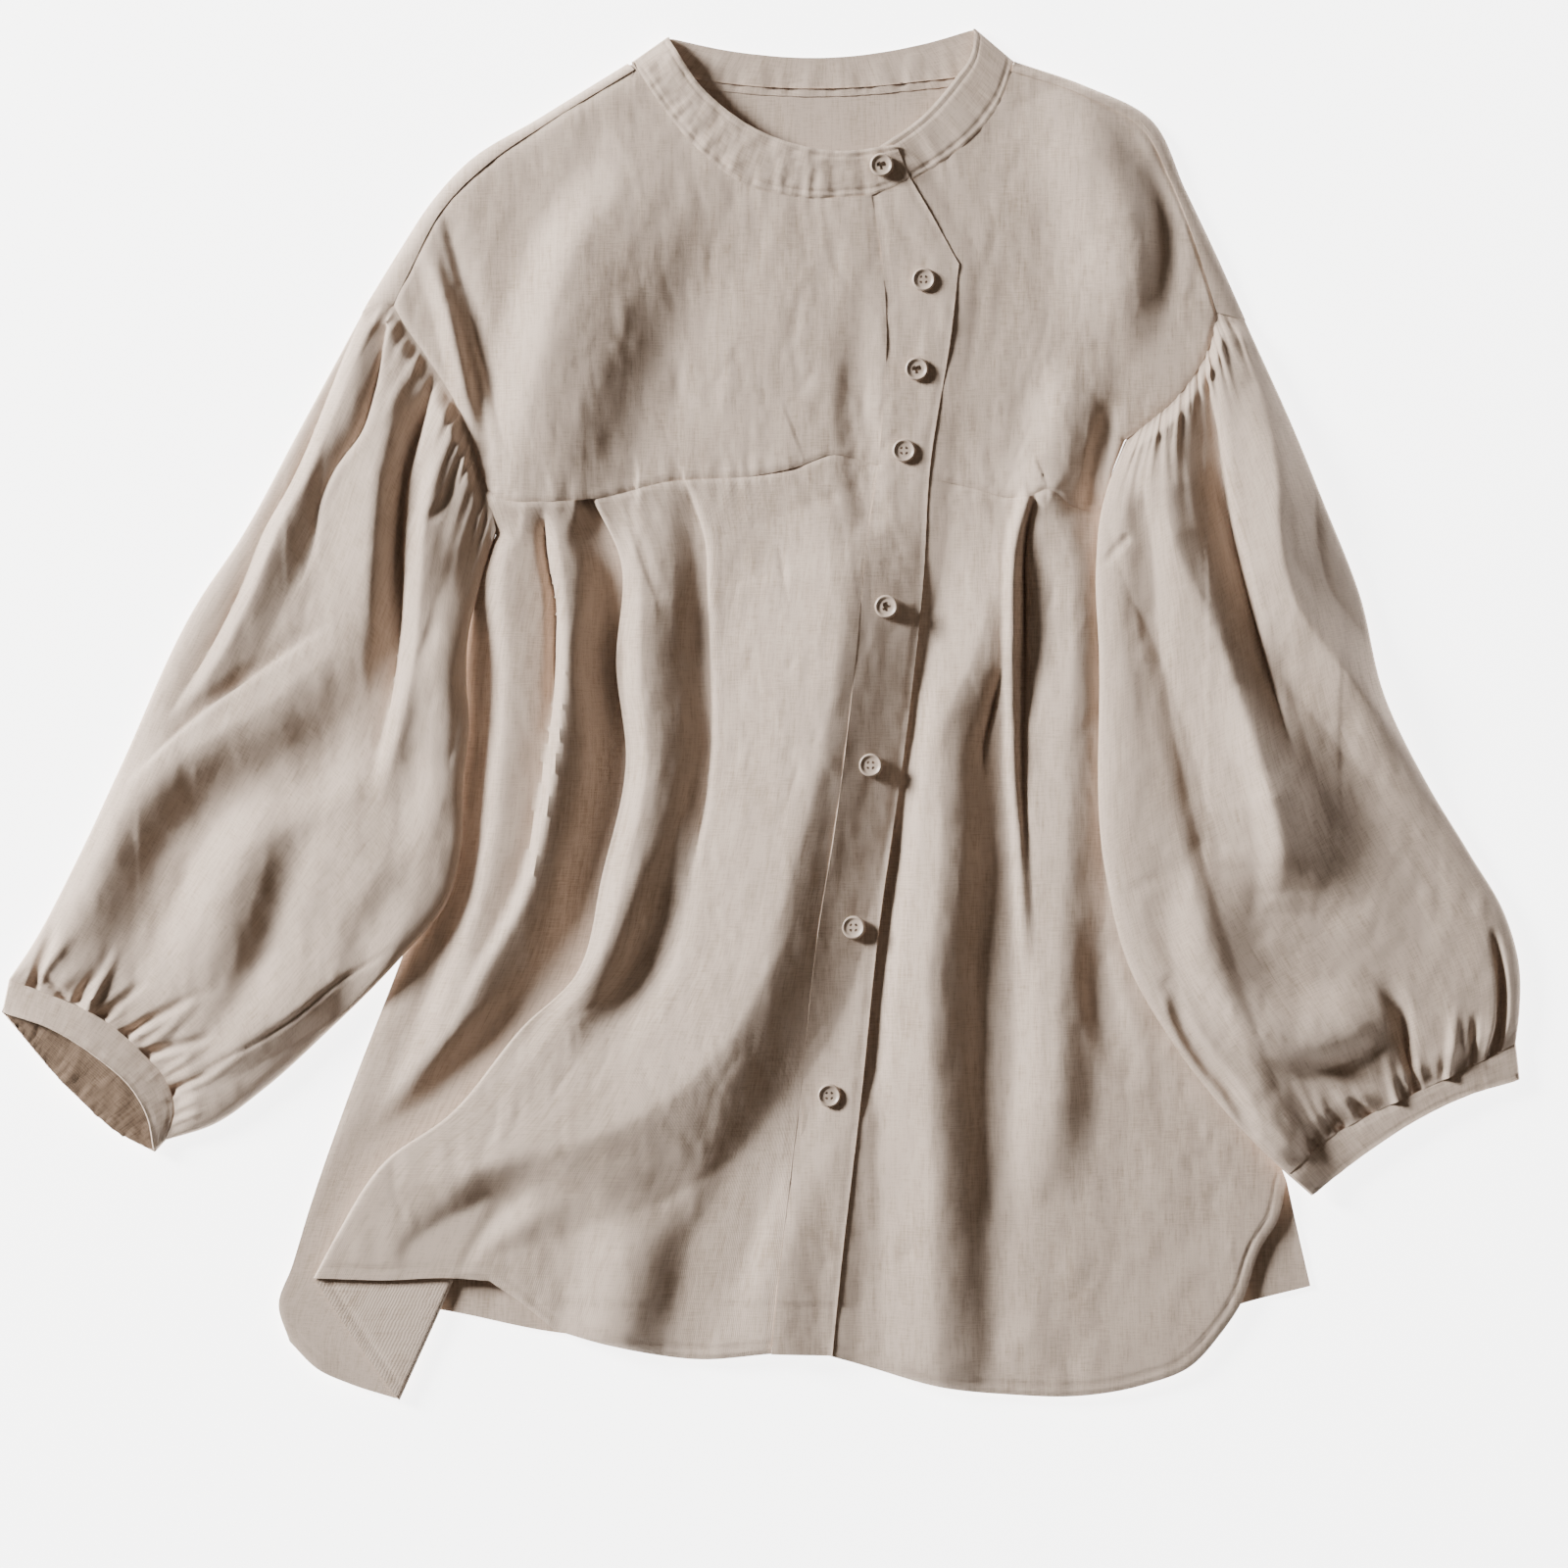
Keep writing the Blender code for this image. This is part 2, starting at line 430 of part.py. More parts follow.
# ---------------------------------------------------------------- walls
def upward(sheet):
    """Half a wall straight up at each point, longer where the cloth is steep."""
    across = np.gradient(sheet, axis=1)
    along = np.gradient(sheet, axis=0)
    normal = np.cross(across, along)
    cosine = np.abs(normal[..., 2]) / np.maximum(np.linalg.norm(normal, axis=-1), 1e-9)
    lift = np.zeros_like(sheet)
    lift[..., 2] = WALL / 2 / np.clip(cosine, STEEPEST, 1)
    return lift


def wall_object(name, middle, half, quads):
    """A closed cloth wall about middle points; half points from the middle to its outer side.

    Each quad is split between its two corners of the nearest heights, so creases stay sharp.
    """
    count = len(middle)
    quads = [tuple(int(i) for i in quad) for quad in quads]
    used = {}
    for quad in quads:
        for a, b in zip(quad, quad[1:] + quad[:1]):
            used[(a, b)] = True
    split = []
    for a, b, c, d in quads:
        across_ac = abs(middle[a][2] - middle[c][2]) <= abs(middle[b][2] - middle[d][2])
        split += [(a, b, c), (a, c, d)] if across_ac else [(a, b, d), (b, c, d)]
    faces = split + [tuple(i + count for i in reversed(triangle)) for triangle in split]
    faces += [(b, a, a + count, b + count) for a, b in used if (b, a) not in used]
    points = np.vstack([middle + half, middle - half])
    solid_object(name, points, faces)


def grid_quads(rows, columns, first=0, closed=False):
    last = columns if closed else columns - 1
    return [(first + r * columns + c, first + r * columns + (c + 1) % columns,
             first + (r + 1) * columns + (c + 1) % columns, first + (r + 1) * columns + c)
            for r in range(rows - 1) for c in range(last)]


def material(name, colour, roughness):
    made = bpy.data.materials.get(name) or bpy.data.materials.new(name)
    made.use_nodes = True
    shader = made.node_tree.nodes["Principled BSDF"]
    shader.inputs["Base Color"].default_value = colour
    shader.inputs["Roughness"].default_value = roughness
    return made


def world(across, down, height):
    """A board point in metres: across goes to +X, down goes to -Y, height to +Z."""
    return (across - ORIGIN_ACROSS) * MM, (ORIGIN_DOWN - down) * MM, height * MM


def solid_object(name, points, faces):
    work = bmesh.new()
    verts = [work.verts.new(world(x, y, z)) for x, y, z in points]
    for face in faces:
        work.faces.new([verts[i] for i in face])
    bmesh.ops.recalc_face_normals(work, faces=work.faces)
    bmesh.ops.triangulate(work, faces=[face for face in work.faces if len(face.verts) > 3])
    mesh = bpy.data.meshes.new(name)
    work.to_mesh(mesh)
    work.free()
    made = bpy.data.objects.new(name, mesh)
    bpy.context.scene.collection.objects.link(made)
    mesh.materials.append(material(f"{name}_linen", LINEN, 0.85))
    mesh.shade_smooth()
    mesh.set_sharp_from_angle(angle=math.radians(50))


def panel(name, plan, height):
    sheet = np.dstack([plan, height])
    quads = grid_quads(*sheet.shape[:2])
    wall_object(name, sheet.reshape(-1, 3), upward(sheet).reshape(-1, 3), quads)


# ---------------------------------------------------------------- body
HALF_GAP = SEAM_GAP / 2
BODY_ROWS = 17
YOKE_ROWS = 11
SLEEVE_ROWS = 17
EDGE_SHARE = 0.02
SLEEVE_STEPS = 14         # spans round a sleeve's visible half, at the armhole and at the cuff
CAP_SHARE = 0.006         # the back stops this share of a shoulder before the sleeve
NECK_STEPS = 17
LEFT_NECK_STEPS = 9
SHOULDER_STEPS = 8
BACK_NECK_STEPS = 10
MAIN_COLUMNS = 16
SIDE_COLUMNS = 11


def shoulder_shares():
    """Shares along a shoulder from its sleeve end, the first two close so both ends are on the cap."""
    return np.concatenate([[0], np.linspace(CAP_SHARE, 1, SHOULDER_STEPS + 1)[1:]])


def make_back():
    """The flat back, with a strip of it rolled over each shoulder to the forward seam."""
    shoulder, neck = SHOULDER_STEPS, BACK_NECK_STEPS
    shares = np.linspace(CAP_SHARE, 1, shoulder + 1)
    neck_line = spaced(smooth(NECK_SEAM_BACK), np.linspace(0, 1, neck + 1))
    top = np.vstack([spaced(smooth(backwards(SHOULDER_RIGHT)), shares), neck_line[1:-1],
                     spaced(smooth(SHOULDER_LEFT), 1 - shares[::-1])])
    left = run([ARMHOLE_RIGHT, UNDERARM_RIGHT, BACK_SIDE_RIGHT], [4, 1, 9])
    right = run([ARMHOLE_LEFT, UNDERARM_LEFT, SIDE_LEFT, BACK_VENT_LEFT], [4, 2, 7, 1])
    left, right = np.vstack([top[:1], left]), np.vstack([top[-1:], right])
    bottom = spaced(smooth(BACK_HEM), np.linspace(0, 1, len(top)))
    plan = inset(fill(top, bottom, left, right), (0, 0, HIDDEN_GAP, HIDDEN_GAP))
    plan[0, shoulder + 1:shoulder + neck] += np.array([0, SEAM_GAP])
    rolls = []
    for seam, front, columns in ((FORWARD_SEAM_RIGHT, right_front, range(0, shoulder + 1)),
                                 (FORWARD_SEAM_LEFT, left_front, range(shoulder + neck, len(top)))):
        columns = list(columns)
        seam_points = spaced(smooth(seam), 1 - shares[::-1])
        along = np.gradient(seam_points, axis=0)
        along /= np.linalg.norm(along, axis=1, keepdims=True)
        away = np.column_stack([along[:, 1], -along[:, 0]]) * (-1 if columns[0] == 0 else 1)
        seam_points = seam_points + away * SEAM_GAP
        if columns[0] == 0:
            seam_points = seam_points[::-1]
        rolls.append((columns, seam_points, front))
    flat = np.dstack([plan, np.full(plan.shape[:2], BACK_LEVEL)])
    rows, cols = flat.shape[:2]
    half = np.zeros_like(flat)
    half[..., 2] = -WALL / 2
    points = [flat.reshape(-1, 3)]
    halves = [half.reshape(-1, 3)]
    quads = grid_quads(rows, cols)
    for columns, seam_points, front in rolls:
        edge = plan[0, columns].copy()
        inward = plan[1, columns] - edge
        inward /= np.linalg.norm(inward, axis=1, keepdims=True)
        turn = np.column_stack([edge, np.full(len(edge), ROLL_LEVEL)])
        reach = np.linalg.norm(seam_points - edge, axis=1, keepdims=True)
        near = edge + inward * np.minimum(WRAP_START, reach * 0.5)
        over = seam_points
        flat_index = [int(c) for c in columns]
        points[0][flat_index, :2] += inward * WRAP_START
        shoulder_turn = np.column_stack([-inward * WALL / 2, np.zeros(len(edge))])
        near_points = np.column_stack([near, (ROLL_LEVEL + front(over[None])[0]) / 2 + WRAP_RISE])
        near_half = np.column_stack([-inward, np.ones(len(edge))]) * WALL / 2 * math.sqrt(0.5)
        over_points = np.column_stack([over, front(over[None])[0]])
        over_half = np.column_stack([np.zeros((len(edge), 2)), np.full(len(edge), WALL / 2)])
        start = sum(len(part) for part in points)
        points += [turn, near_points, over_points]
        halves += [shoulder_turn, near_half, over_half]
        n = len(columns)
        rows_of = [flat_index] + [[start + k * n + i for i in range(n)] for k in range(3)]
        for lower, upper in zip(rows_of[:-1], rows_of[1:]):
            quads += [(upper[i], upper[i + 1], lower[i + 1], lower[i]) for i in range(n - 1)]
    wall_object("back", np.vstack(points), np.vstack(halves), quads)


def seam_right_shares():
    """Where the right yoke seam's points lie, and which of them the skirt's main part begins at."""
    seam = smooth(YOKE_SEAM_RIGHT)
    lengths = np.concatenate([[0], np.cumsum(np.linalg.norm(np.diff(seam, axis=0), axis=1))])
    pleat_at = lengths[np.argmin(np.abs(seam[:, 0] - PLEAT_EDGE[0][0]))] / lengths[-1]
    side = np.linspace(0, pleat_at, SIDE_COLUMNS)
    return np.concatenate([side[:-1], np.linspace(pleat_at, 1, MAIN_COLUMNS)]), SIDE_COLUMNS - 1


def make_yoke_right():
    neck = spaced(smooth(NECK_SEAM_RIGHT), np.linspace(0, 1, NECK_STEPS + 1))
    seam_shares, _ = seam_right_shares()
    shoulder = spaced(smooth(backwards(FORWARD_SEAM_RIGHT)), shoulder_shares())
    top = np.vstack([shoulder, neck[1:]])
    left = spaced(smooth(ARMHOLE_RIGHT), np.linspace(0, 1, YOKE_ROWS))
    right = spaced(smooth(PLACKET_SEAM_YOKE), np.linspace(0, 1, YOKE_ROWS))
    bottom = spaced(smooth(YOKE_SEAM_RIGHT), seam_shares)
    plan = snap(inset(fill(top, bottom, left, right), (HALF_GAP,) * 4), RIGHT_FRONT_FOLDS)
    panel("front_yoke_right", plan, right_front(plan))


def make_yoke_left():
    neck = spaced(smooth(backwards(NECK_SEAM_LEFT)), np.linspace(0, 1, LEFT_NECK_STEPS + 1))
    shoulder = spaced(smooth(backwards(FORWARD_SEAM_LEFT)), shoulder_shares())[::-1]
    top = np.vstack([neck[:-1], shoulder])
    left = run([UNDERLAP_TOP, UNDERLAP_YOKE], [4, YOKE_ROWS - 5])
    right = run([ARMHOLE_LEFT, UNDERARM_LEFT], [7, YOKE_ROWS - 8])
    bottom = spaced(smooth(YOKE_SEAM_LEFT), np.linspace(0, 1, len(top)))
    plan = inset(fill(top, bottom, left, right), (HALF_GAP,) * 4)
    panel("front_yoke_left", plan, left_front(plan))


def make_skirt_left():
    columns = np.linspace(0, 1, LEFT_NECK_STEPS + SHOULDER_STEPS + 1)
    top = spaced(smooth(YOKE_SEAM_LEFT), columns)
    bottom = spaced(smooth(HEM_LEFT), columns)
    left = spaced(smooth(UNDERLAP_SKIRT), np.linspace(0, 1, BODY_ROWS))
    right = spaced(smooth(SIDE_LEFT), np.linspace(0, 1, BODY_ROWS))
    plan = snap(inset(fill(top, bottom, left, right), (HALF_GAP, 0, HALF_GAP, 0)), LEFT_FRONT_FOLDS)
    panel("front_skirt_left", plan, left_front(plan))


def placket_height(plan):
    """The button band's height: the right front's own, and never so low as to touch the stand."""
    share = np.linspace(0, 1, plan.shape[1])[None, :]
    return np.maximum(right_front(plan), RIGHT_FRONT_LOWEST + PLACKET_LIFT * share)


def make_placket_top():
    rows = 25
    top = spaced(smooth(BAND_END_SEAM), np.linspace(0, 1, 5))
    bottom = spaced(smooth(PLACKET_HEM), np.linspace(0, 1, 5))
    left = run([PLACKET_SEAM_YOKE, PLACKET_SEAM_SKIRT], [6, rows - 7])
    right = run([PLACKET_CORNER, PLACKET_EDGE], [2, rows - 3])
    plan = inset(fill(top, bottom, left, right), (HALF_GAP, 0, HALF_GAP, 0))
    panel("placket_top", plan, placket_height(plan))


def make_placket_under():
    """The button stand: a strip along the left front's edge, hidden below the button band."""
    edge = run([UNDERLAP_TOP, UNDERLAP_YOKE, UNDERLAP_SKIRT], [2, 4, 14])[1:]
    far = edge - np.array([UNDERLAP_WIDTH, 0])
    plan = np.stack([far, (far + edge) / 2, edge - np.array([SEAM_GAP, 0])], axis=1)
    panel("placket_under", plan, np.full(plan.shape[:2], UNDERLAP_LEVEL))


def make_skirt_right():
    """The right skirt: a main part, a deep knife pleat folded under it, and a side part."""
    rows = np.linspace(0, 1, BODY_ROWS)
    pleat = spaced(smooth(PLEAT_EDGE), rows)
    inner = spaced(smooth(PLEAT_INNER), rows)
    seam_shares, pleat_column = seam_right_shares()
    seam = spaced(smooth(YOKE_SEAM_RIGHT), seam_shares)
    main_top = seam[pleat_column:]
    main_bottom = run([HEM_MAIN, HEM_MAIN_RISE, HEM_MAIN_LOW], [6, 2, 7])
    main_plan = fill(main_top, main_bottom, pleat, spaced(smooth(PLACKET_SEAM_SKIRT), rows))
    under_top = spaced(np.vstack([pleat[:1], inner[:1]]), np.linspace(0, 1, 4))
    under_plan = fill(under_top, spaced(smooth(HEM_FLAP), np.linspace(0, 1, 4)), pleat, inner)
    side_top = np.vstack([seam[:pleat_column + 1], inner[:1]])
    side_plan = fill(side_top, spaced(smooth(backwards(HEM_SIDE)), np.linspace(0, 1, len(side_top))),
                     run([UNDERARM_RIGHT, SIDE_RIGHT], [1, BODY_ROWS - 2]), inner)
    main_plan = snap(inset(main_plan, (HALF_GAP, 0, TURN, HALF_GAP)), RIGHT_FRONT_FOLDS)[:, ::-1]
    under_plan = inset(under_plan, (HALF_GAP, 0, TURN, TURN))
    side_plan = snap(inset(side_plan, (HALF_GAP, 0, 0, TURN)), SIDE_FOLDS)[:, ::-1]
    main_sheet = np.dstack([main_plan, main_skirt(main_plan)])
    under_sheet = np.dstack([under_plan, np.full(under_plan.shape[:2], REST_LEVEL + LAYER_STEP)])
    side_sheet = np.dstack([side_plan, side_part(side_plan)])
    outward = pleat - main_plan[:, -1]
    outward /= np.linalg.norm(outward, axis=1, keepdims=True)
    pleat_turn = np.column_stack([pleat, (main_sheet[:, -1, 2] + under_sheet[:, 0, 2]) / 2])
    inward = inner - under_plan[:, -1]
    inward /= np.linalg.norm(inward, axis=1, keepdims=True)
    inner_turn = np.column_stack([inner, (under_sheet[:, -1, 2] + side_sheet[:, 0, 2]) / 2])
    none = np.zeros((BODY_ROWS, 1))
    sheets = [main_sheet, pleat_turn[:, None], under_sheet, inner_turn[:, None], side_sheet]
    sheet = np.concatenate(sheets, axis=1)
    half = np.concatenate([upward(main_sheet), np.hstack([outward * WALL / 2, none])[:, None],
                           -upward(under_sheet), np.hstack([-inward * WALL / 2, none])[:, None],
                           upward(side_sheet)], axis=1)
    quads = grid_quads(*sheet.shape[:2])
    wall_object("front_skirt_right", sheet.reshape(-1, 3), half.reshape(-1, 3), quads)


# ---------------------------------------------------------------- collar
def fold_roll(plan, height, fold_line):
    """Bring the height down to the rolled edge near a straight fold."""
    distance = np.abs(nearest(plan, fold_line)[0])
    short = 1 - np.clip(distance / SHOULDER_REACH, 0, 1)
    return ROLL_LEVEL + (height - ROLL_LEVEL) * np.sqrt(np.clip(1 - short**2, 0, 1))


def band_part(top_line, seam_line, rows):
    shares = np.linspace(0, 1, rows)[:, None, None]
    return (1 - shares) * top_line[None] + shares * seam_line[None]


def make_collar_band():
    """One band from its button end, round both shoulder folds, to the end under the overlap."""
    rows = 4
    front_count, back_count, far_count = NECK_STEPS + 3, BACK_NECK_STEPS + 1, LEFT_NECK_STEPS + 1
    shares = np.linspace(0, 1, rows)[:, None]
    right_seam = run([backwards(BAND_END_SEAM), backwards(NECK_SEAM_RIGHT)], [2, NECK_STEPS])
    top_edge = spaced(smooth(backwards(BAND_TOP_RIGHT)), np.linspace(0, 1, front_count))
    front = band_part(top_edge, right_seam, rows)
    back = band_part(spaced(smooth(BAND_TOP_BACK), np.linspace(0, 1, back_count)),
                     spaced(smooth(NECK_SEAM_BACK), np.linspace(0, 1, back_count)), rows)
    far = band_part(spaced(smooth(BAND_TOP_LEFT), np.linspace(0, 1, far_count)),
                    spaced(smooth(NECK_SEAM_LEFT), np.linspace(0, 1, far_count)), rows)
    fold_right = [BAND_TOP_RIGHT[0], NECK_SEAM_RIGHT[0]]
    fold_left = [BAND_TOP_LEFT[0], NECK_SEAM_LEFT[0]]
    right_turn, left_turn = back[:, 0].copy(), back[:, -1].copy()
    front = inset(front, (0, HALF_GAP, 0, TURN_WIDE))
    back = inset(back, (0, HALF_GAP, TURN_WIDE, TURN_WIDE))
    far = inset(far, (0, HALF_GAP, TURN_WIDE, 0))
    front_rise = right_front(front[-1:]) + BAND_STAND * (1 - shares)
    front_rise[:, :2] = np.maximum(front_rise[:, :2], RIGHT_FRONT_LEVEL + NECK_LOWEST)
    far_rise = left_front(far[-1:]) + 0.5 * BAND_STAND * (1 - shares)
    front_sheet = np.dstack([front, fold_roll(front, front_rise, fold_right)])
    back_sheet = np.dstack([back, np.full(back.shape[:2], BACK_LEVEL)])
    far_sheet = np.dstack([far, fold_roll(far, far_rise, fold_left)])
    parts, halves = [front_sheet], [upward(front_sheet)]
    turns = ((right_turn, back_sheet, back[:, 0], -1), (left_turn, far_sheet, back[:, -1], 1))
    for turn, sheet, neighbour, sign in turns:
        outward = turn - neighbour
        outward /= np.linalg.norm(outward, axis=1, keepdims=True)
        parts += [np.column_stack([turn, np.full(rows, ROLL_LEVEL)])[:, None], sheet]
        halves += [np.hstack([outward * WALL / 2, np.zeros((rows, 1))])[:, None], sign * upward(sheet)]
    sheet = np.concatenate(parts, axis=1)
    quads = grid_quads(*sheet.shape[:2])
    wall_object("collar_band", sheet.reshape(-1, 3), np.concatenate(halves, axis=1).reshape(-1, 3), quads)


# ---------------------------------------------------------------- sleeves and cuffs
def lift_right(plan):
    """How far the right sleeve is carried up by the body's side under it."""
    signed, _ = nearest(plan, SIDE_RIGHT)
    past_armhole = ease((plan[..., 1] - LIFT_RIGHT_FROM) / LIFT_RIGHT_LENGTH)
    return SLEEVE_LIFT * ease((signed + LIFT_RIGHT_IN) / LIFT_RIGHT_REACH) * past_armhole


def lift_left(plan):
    signed, _ = nearest(plan, SIDE_LEFT)
    past_armhole = ease((plan[..., 1] - LIFT_LEFT_FROM) / LIFT_LEFT_LENGTH)
    return SLEEVE_LIFT * ease((LIFT_LEFT_OUT - signed) / LIFT_LEFT_REACH) * past_armhole


def tube(name, plan, top_height, bottom_height, roll_height, under_plan=None, folds=()):
    """A flattened tube: rows run along it, and its ring goes over the top and back below."""
    under_plan = plan if under_plan is None else under_plan
    outline = plan.copy()
    over = snap(inset(plan, (0, 0, TURN_WIDE, TURN_WIDE)), folds)
    below = inset(under_plan, (0, 0, TURN_WIDE, TURN_WIDE))[:, ::-1]
    over_sheet = np.dstack([over, top_height(over)])
    below_sheet = np.dstack([below, bottom_height(below)])
    below_sheet[..., 2] += upward(below_sheet)[..., 2] - WALL / 2
    ring, halves = [], []
    for side, sheet, sign in ((0, over_sheet, 1), (-1, below_sheet, -1)):
        outward = outline[:, side] - over[:, side]
        outward /= np.linalg.norm(outward, axis=1, keepdims=True)
        turn = np.column_stack([outline[:, side], roll_height(outline[:, side])])
        ring += [turn[:, None], sheet]
        halves += [np.hstack([outward * WALL / 2, np.zeros((len(turn), 1))])[:, None], sign * upward(sheet)]
    sheet = np.concatenate(ring, axis=1)
    quads = grid_quads(*sheet.shape[:2], closed=True)
    wall_object(name, sheet.reshape(-1, 3), np.concatenate(halves, axis=1).reshape(-1, 3), quads)


def sleeve_height(plan, folds, cap, cuff, silhouettes, lift):
    """The top layer of a sleeve, joined to the armhole's height and to the cuff's."""
    height = np.full(plan.shape[:-1], SLEEVE_LEVEL)
    for fold in folds:
        height = height + fold_height(plan, fold)
    height = np.maximum(height, SLEEVE_LOWEST)
    for line in silhouettes:
        height = edge_height(plan, height, Edge(line, ROLL_LEVEL, SLEEVE_ROLL, 0))
    start = np.linalg.norm(plan - plan[:1], axis=-1)
    end = np.linalg.norm(plan - plan[-1:], axis=-1)
    height = cap + (height - cap) * ease(start / CAP_REACH)
    height = cuff + (height - cuff) * ease(end / CUFF_REACH)
    return height + lift(plan)


def cuff_level(columns, rise):
    """The top layer's height across a flattened cuff that is open by the given rise."""
    across = np.linspace(EDGE_SHARE, 1 - EDGE_SHARE, columns)
    return ROLL_LEVEL + TUBE_RISE + rise * np.sqrt(np.sin(np.pi * across))


def make_sleeve(name, cap_lines, counts, outer, inner, cuff_seam, folds, body_height, lift, flip):
    rows = SLEEVE_ROWS
    cap = run(cap_lines, counts)
    cuff = spaced(smooth(cuff_seam), np.linspace(0, 1, len(cap)))
    near = spaced(smooth(outer), np.linspace(0, 1, rows))
    far = spaced(smooth(inner), np.linspace(0, 1, rows))
    plan = inset(fill(cap, cuff, near, far), (HALF_GAP, HALF_GAP, 0, 0))
    if flip:
        plan = plan[:, ::-1]

    def top(points):
        cap_level = np.maximum(body_height(points[:1]), ROLL_LEVEL + TUBE_RISE)
        cuff_line = cuff_level(points.shape[1], SEWN_OPENING)
        return sleeve_height(points, folds, cap_level, cuff_line, (outer, inner), lift)

    tube(name, plan, top, lambda points: BACK_LEVEL + lift(points), lambda points: ROLL_LEVEL + lift(points),
         folds=folds)


def make_sleeves():
    make_sleeve("sleeve_right", [SLEEVE_CAP_RIGHT, ARMHOLE_RIGHT, UNDERARM_RIGHT], [1, SLEEVE_STEPS - 3, 2],
                SLEEVE_OUTER_RIGHT, SLEEVE_INNER_RIGHT, CUFF_SEAM_RIGHT, SLEEVE_FOLDS_RIGHT,
                right_front, lift_right, False)
    make_sleeve("sleeve_left", [SLEEVE_CAP_LEFT, ARMHOLE_LEFT], [2, SLEEVE_STEPS - 2],
                SLEEVE_OUTER_LEFT, SLEEVE_INNER_LEFT, CUFF_SEAM_LEFT, SLEEVE_FOLDS_LEFT,
                left_front, lift_left, True)


def make_cuff(name, seam, edge, under_edge, rise, lift):
    columns, rows = SLEEVE_STEPS + 1, 3
    shares = np.linspace(0, 1, columns)
    seam_line = spaced(smooth(seam), shares)
    over = inset(band_part(seam_line, spaced(smooth(edge), shares), rows), (HALF_GAP, 0, 0, 0))
    under = inset(band_part(seam_line, spaced(smooth(under_edge), shares), rows), (HALF_GAP, 0, 0, 0))
    level = np.array([cuff_level(columns, opening) for opening in np.linspace(SEWN_OPENING, rise, rows)])
    tube(name, over, lambda points: level + lift(points), lambda points: BACK_LEVEL + lift(points),
         lambda points: ROLL_LEVEL + lift(points), under)


# ---------------------------------------------------------------- buttons
def make_button(number, across, down):
    """A round four-hole button with a raised rim, laid on the band below it."""
    radius = BUTTON_DIAMETER / 2
    profile = [(radius - BUTTON_CHAMFER, 0), (radius, BUTTON_CHAMFER),
               (radius, BUTTON_THICKNESS - BUTTON_ROUND), (radius - BUTTON_ROUND, BUTTON_THICKNESS),
               (radius - BUTTON_RIM, BUTTON_THICKNESS),
               (radius - BUTTON_RIM - BUTTON_ROUND, BUTTON_THICKNESS - BUTTON_DISH)]
    work = bmesh.new()
    turns = [math.tau * k / BUTTON_SIDES for k in range(BUTTON_SIDES)]
    rings = [[work.verts.new((r * MM * math.cos(turn), r * MM * math.sin(turn), z * MM)) for turn in turns]
             for r, z in profile]
    for low, high in zip(rings, rings[1:]):
        for k in range(BUTTON_SIDES):
            work.faces.new((low[k], low[(k + 1) % BUTTON_SIDES], high[(k + 1) % BUTTON_SIDES], high[k]))
    work.faces.new(rings[0][::-1])
    work.faces.new(rings[-1])
    name = f"button_{number}"
    mesh = bpy.data.meshes.new(name)
    work.to_mesh(mesh)
    work.free()
    button = bpy.data.objects.new(name, mesh)
    bpy.context.scene.collection.objects.link(button)
    mesh.materials.append(material("button", BUTTON_COLOUR, 0.45))
    drills = bmesh.new()
    step = BUTTON_HOLE_SPACING / 2 * MM
    for x, y in HOLE_CORNERS:
        made = bmesh.ops.create_cone(drills, cap_ends=True, segments=HOLE_SIDES, radius1=BUTTON_HOLE / 2 * MM,
                                     radius2=BUTTON_HOLE / 2 * MM, depth=3 * BUTTON_THICKNESS * MM)
        bmesh.ops.translate(drills, verts=made["verts"], vec=(x * step, y * step, 0))
    drill_mesh = bpy.data.meshes.new(f"{name}_holes")
    drills.to_mesh(drill_mesh)
    drills.free()
    drill = bpy.data.objects.new(f"{name}_holes", drill_mesh)
    bpy.context.scene.collection.objects.link(drill)
    drill.hide_render = True
    drill.display_type = "WIRE"
    cut = button.modifiers.new("holes", "BOOLEAN")
    cut.operation = "DIFFERENCE"
    cut.object = drill
    seat_button(number, button, drill, across, down)


def seat_button(number, button, drill, across, down):
    """Tilt a button to the cloth's own slope and set it just above the highest point below it."""
    turns = np.arange(BUTTON_SIDES) * math.tau / BUTTON_SIDES
    ring = np.column_stack([np.cos(turns), np.sin(turns)]) * BUTTON_DIAMETER / 2
    spots = np.array([across, down]) + np.vstack([ring, ring * 0.5, [[0, 0]]])
    heights = right_front(spots[None])[0]
    if number == 1:
        heights = heights + BAND_STAND * BAND_BUTTON_SHARE
    heights = np.maximum(heights, RIGHT_FRONT_LOWEST + BUTTON_LIFT)
    offset = spots - np.array([across, down])
    fit, *_ = np.linalg.lstsq(np.column_stack([offset, np.ones(len(offset))]), heights, rcond=None)
    above = np.max(heights - offset @ fit[:2] - fit[2])
    base = fit[2] + above + WALL / 2 + SEAM_GAP + SEAM_MARGIN
    for thing in (button, drill):
        thing.location = world(across, down, base)
        thing.rotation_euler = (-math.atan(fit[1]), -math.atan(fit[0]), 0)


def main():
    for thing in list(bpy.data.objects):
        bpy.data.objects.remove(thing, do_unlink=True)
    make_back()
    make_yoke_right()
    make_yoke_left()
    make_skirt_left()
    make_skirt_right()
    make_placket_top()
    make_placket_under()
    make_collar_band()
    make_sleeves()
    make_cuff("cuff_right", CUFF_SEAM_RIGHT, CUFF_EDGE_RIGHT, CUFF_UNDER_RIGHT, OPEN_MOUTH,
              lift_right)
    make_cuff("cuff_left", backwards(CUFF_SEAM_LEFT), backwards(CUFF_EDGE_LEFT), backwards(CUFF_EDGE_LEFT),
              SEWN_OPENING, lift_left)
    for number, (across, down) in enumerate(BUTTONS, 1):
        make_button(number, across, down)


main()
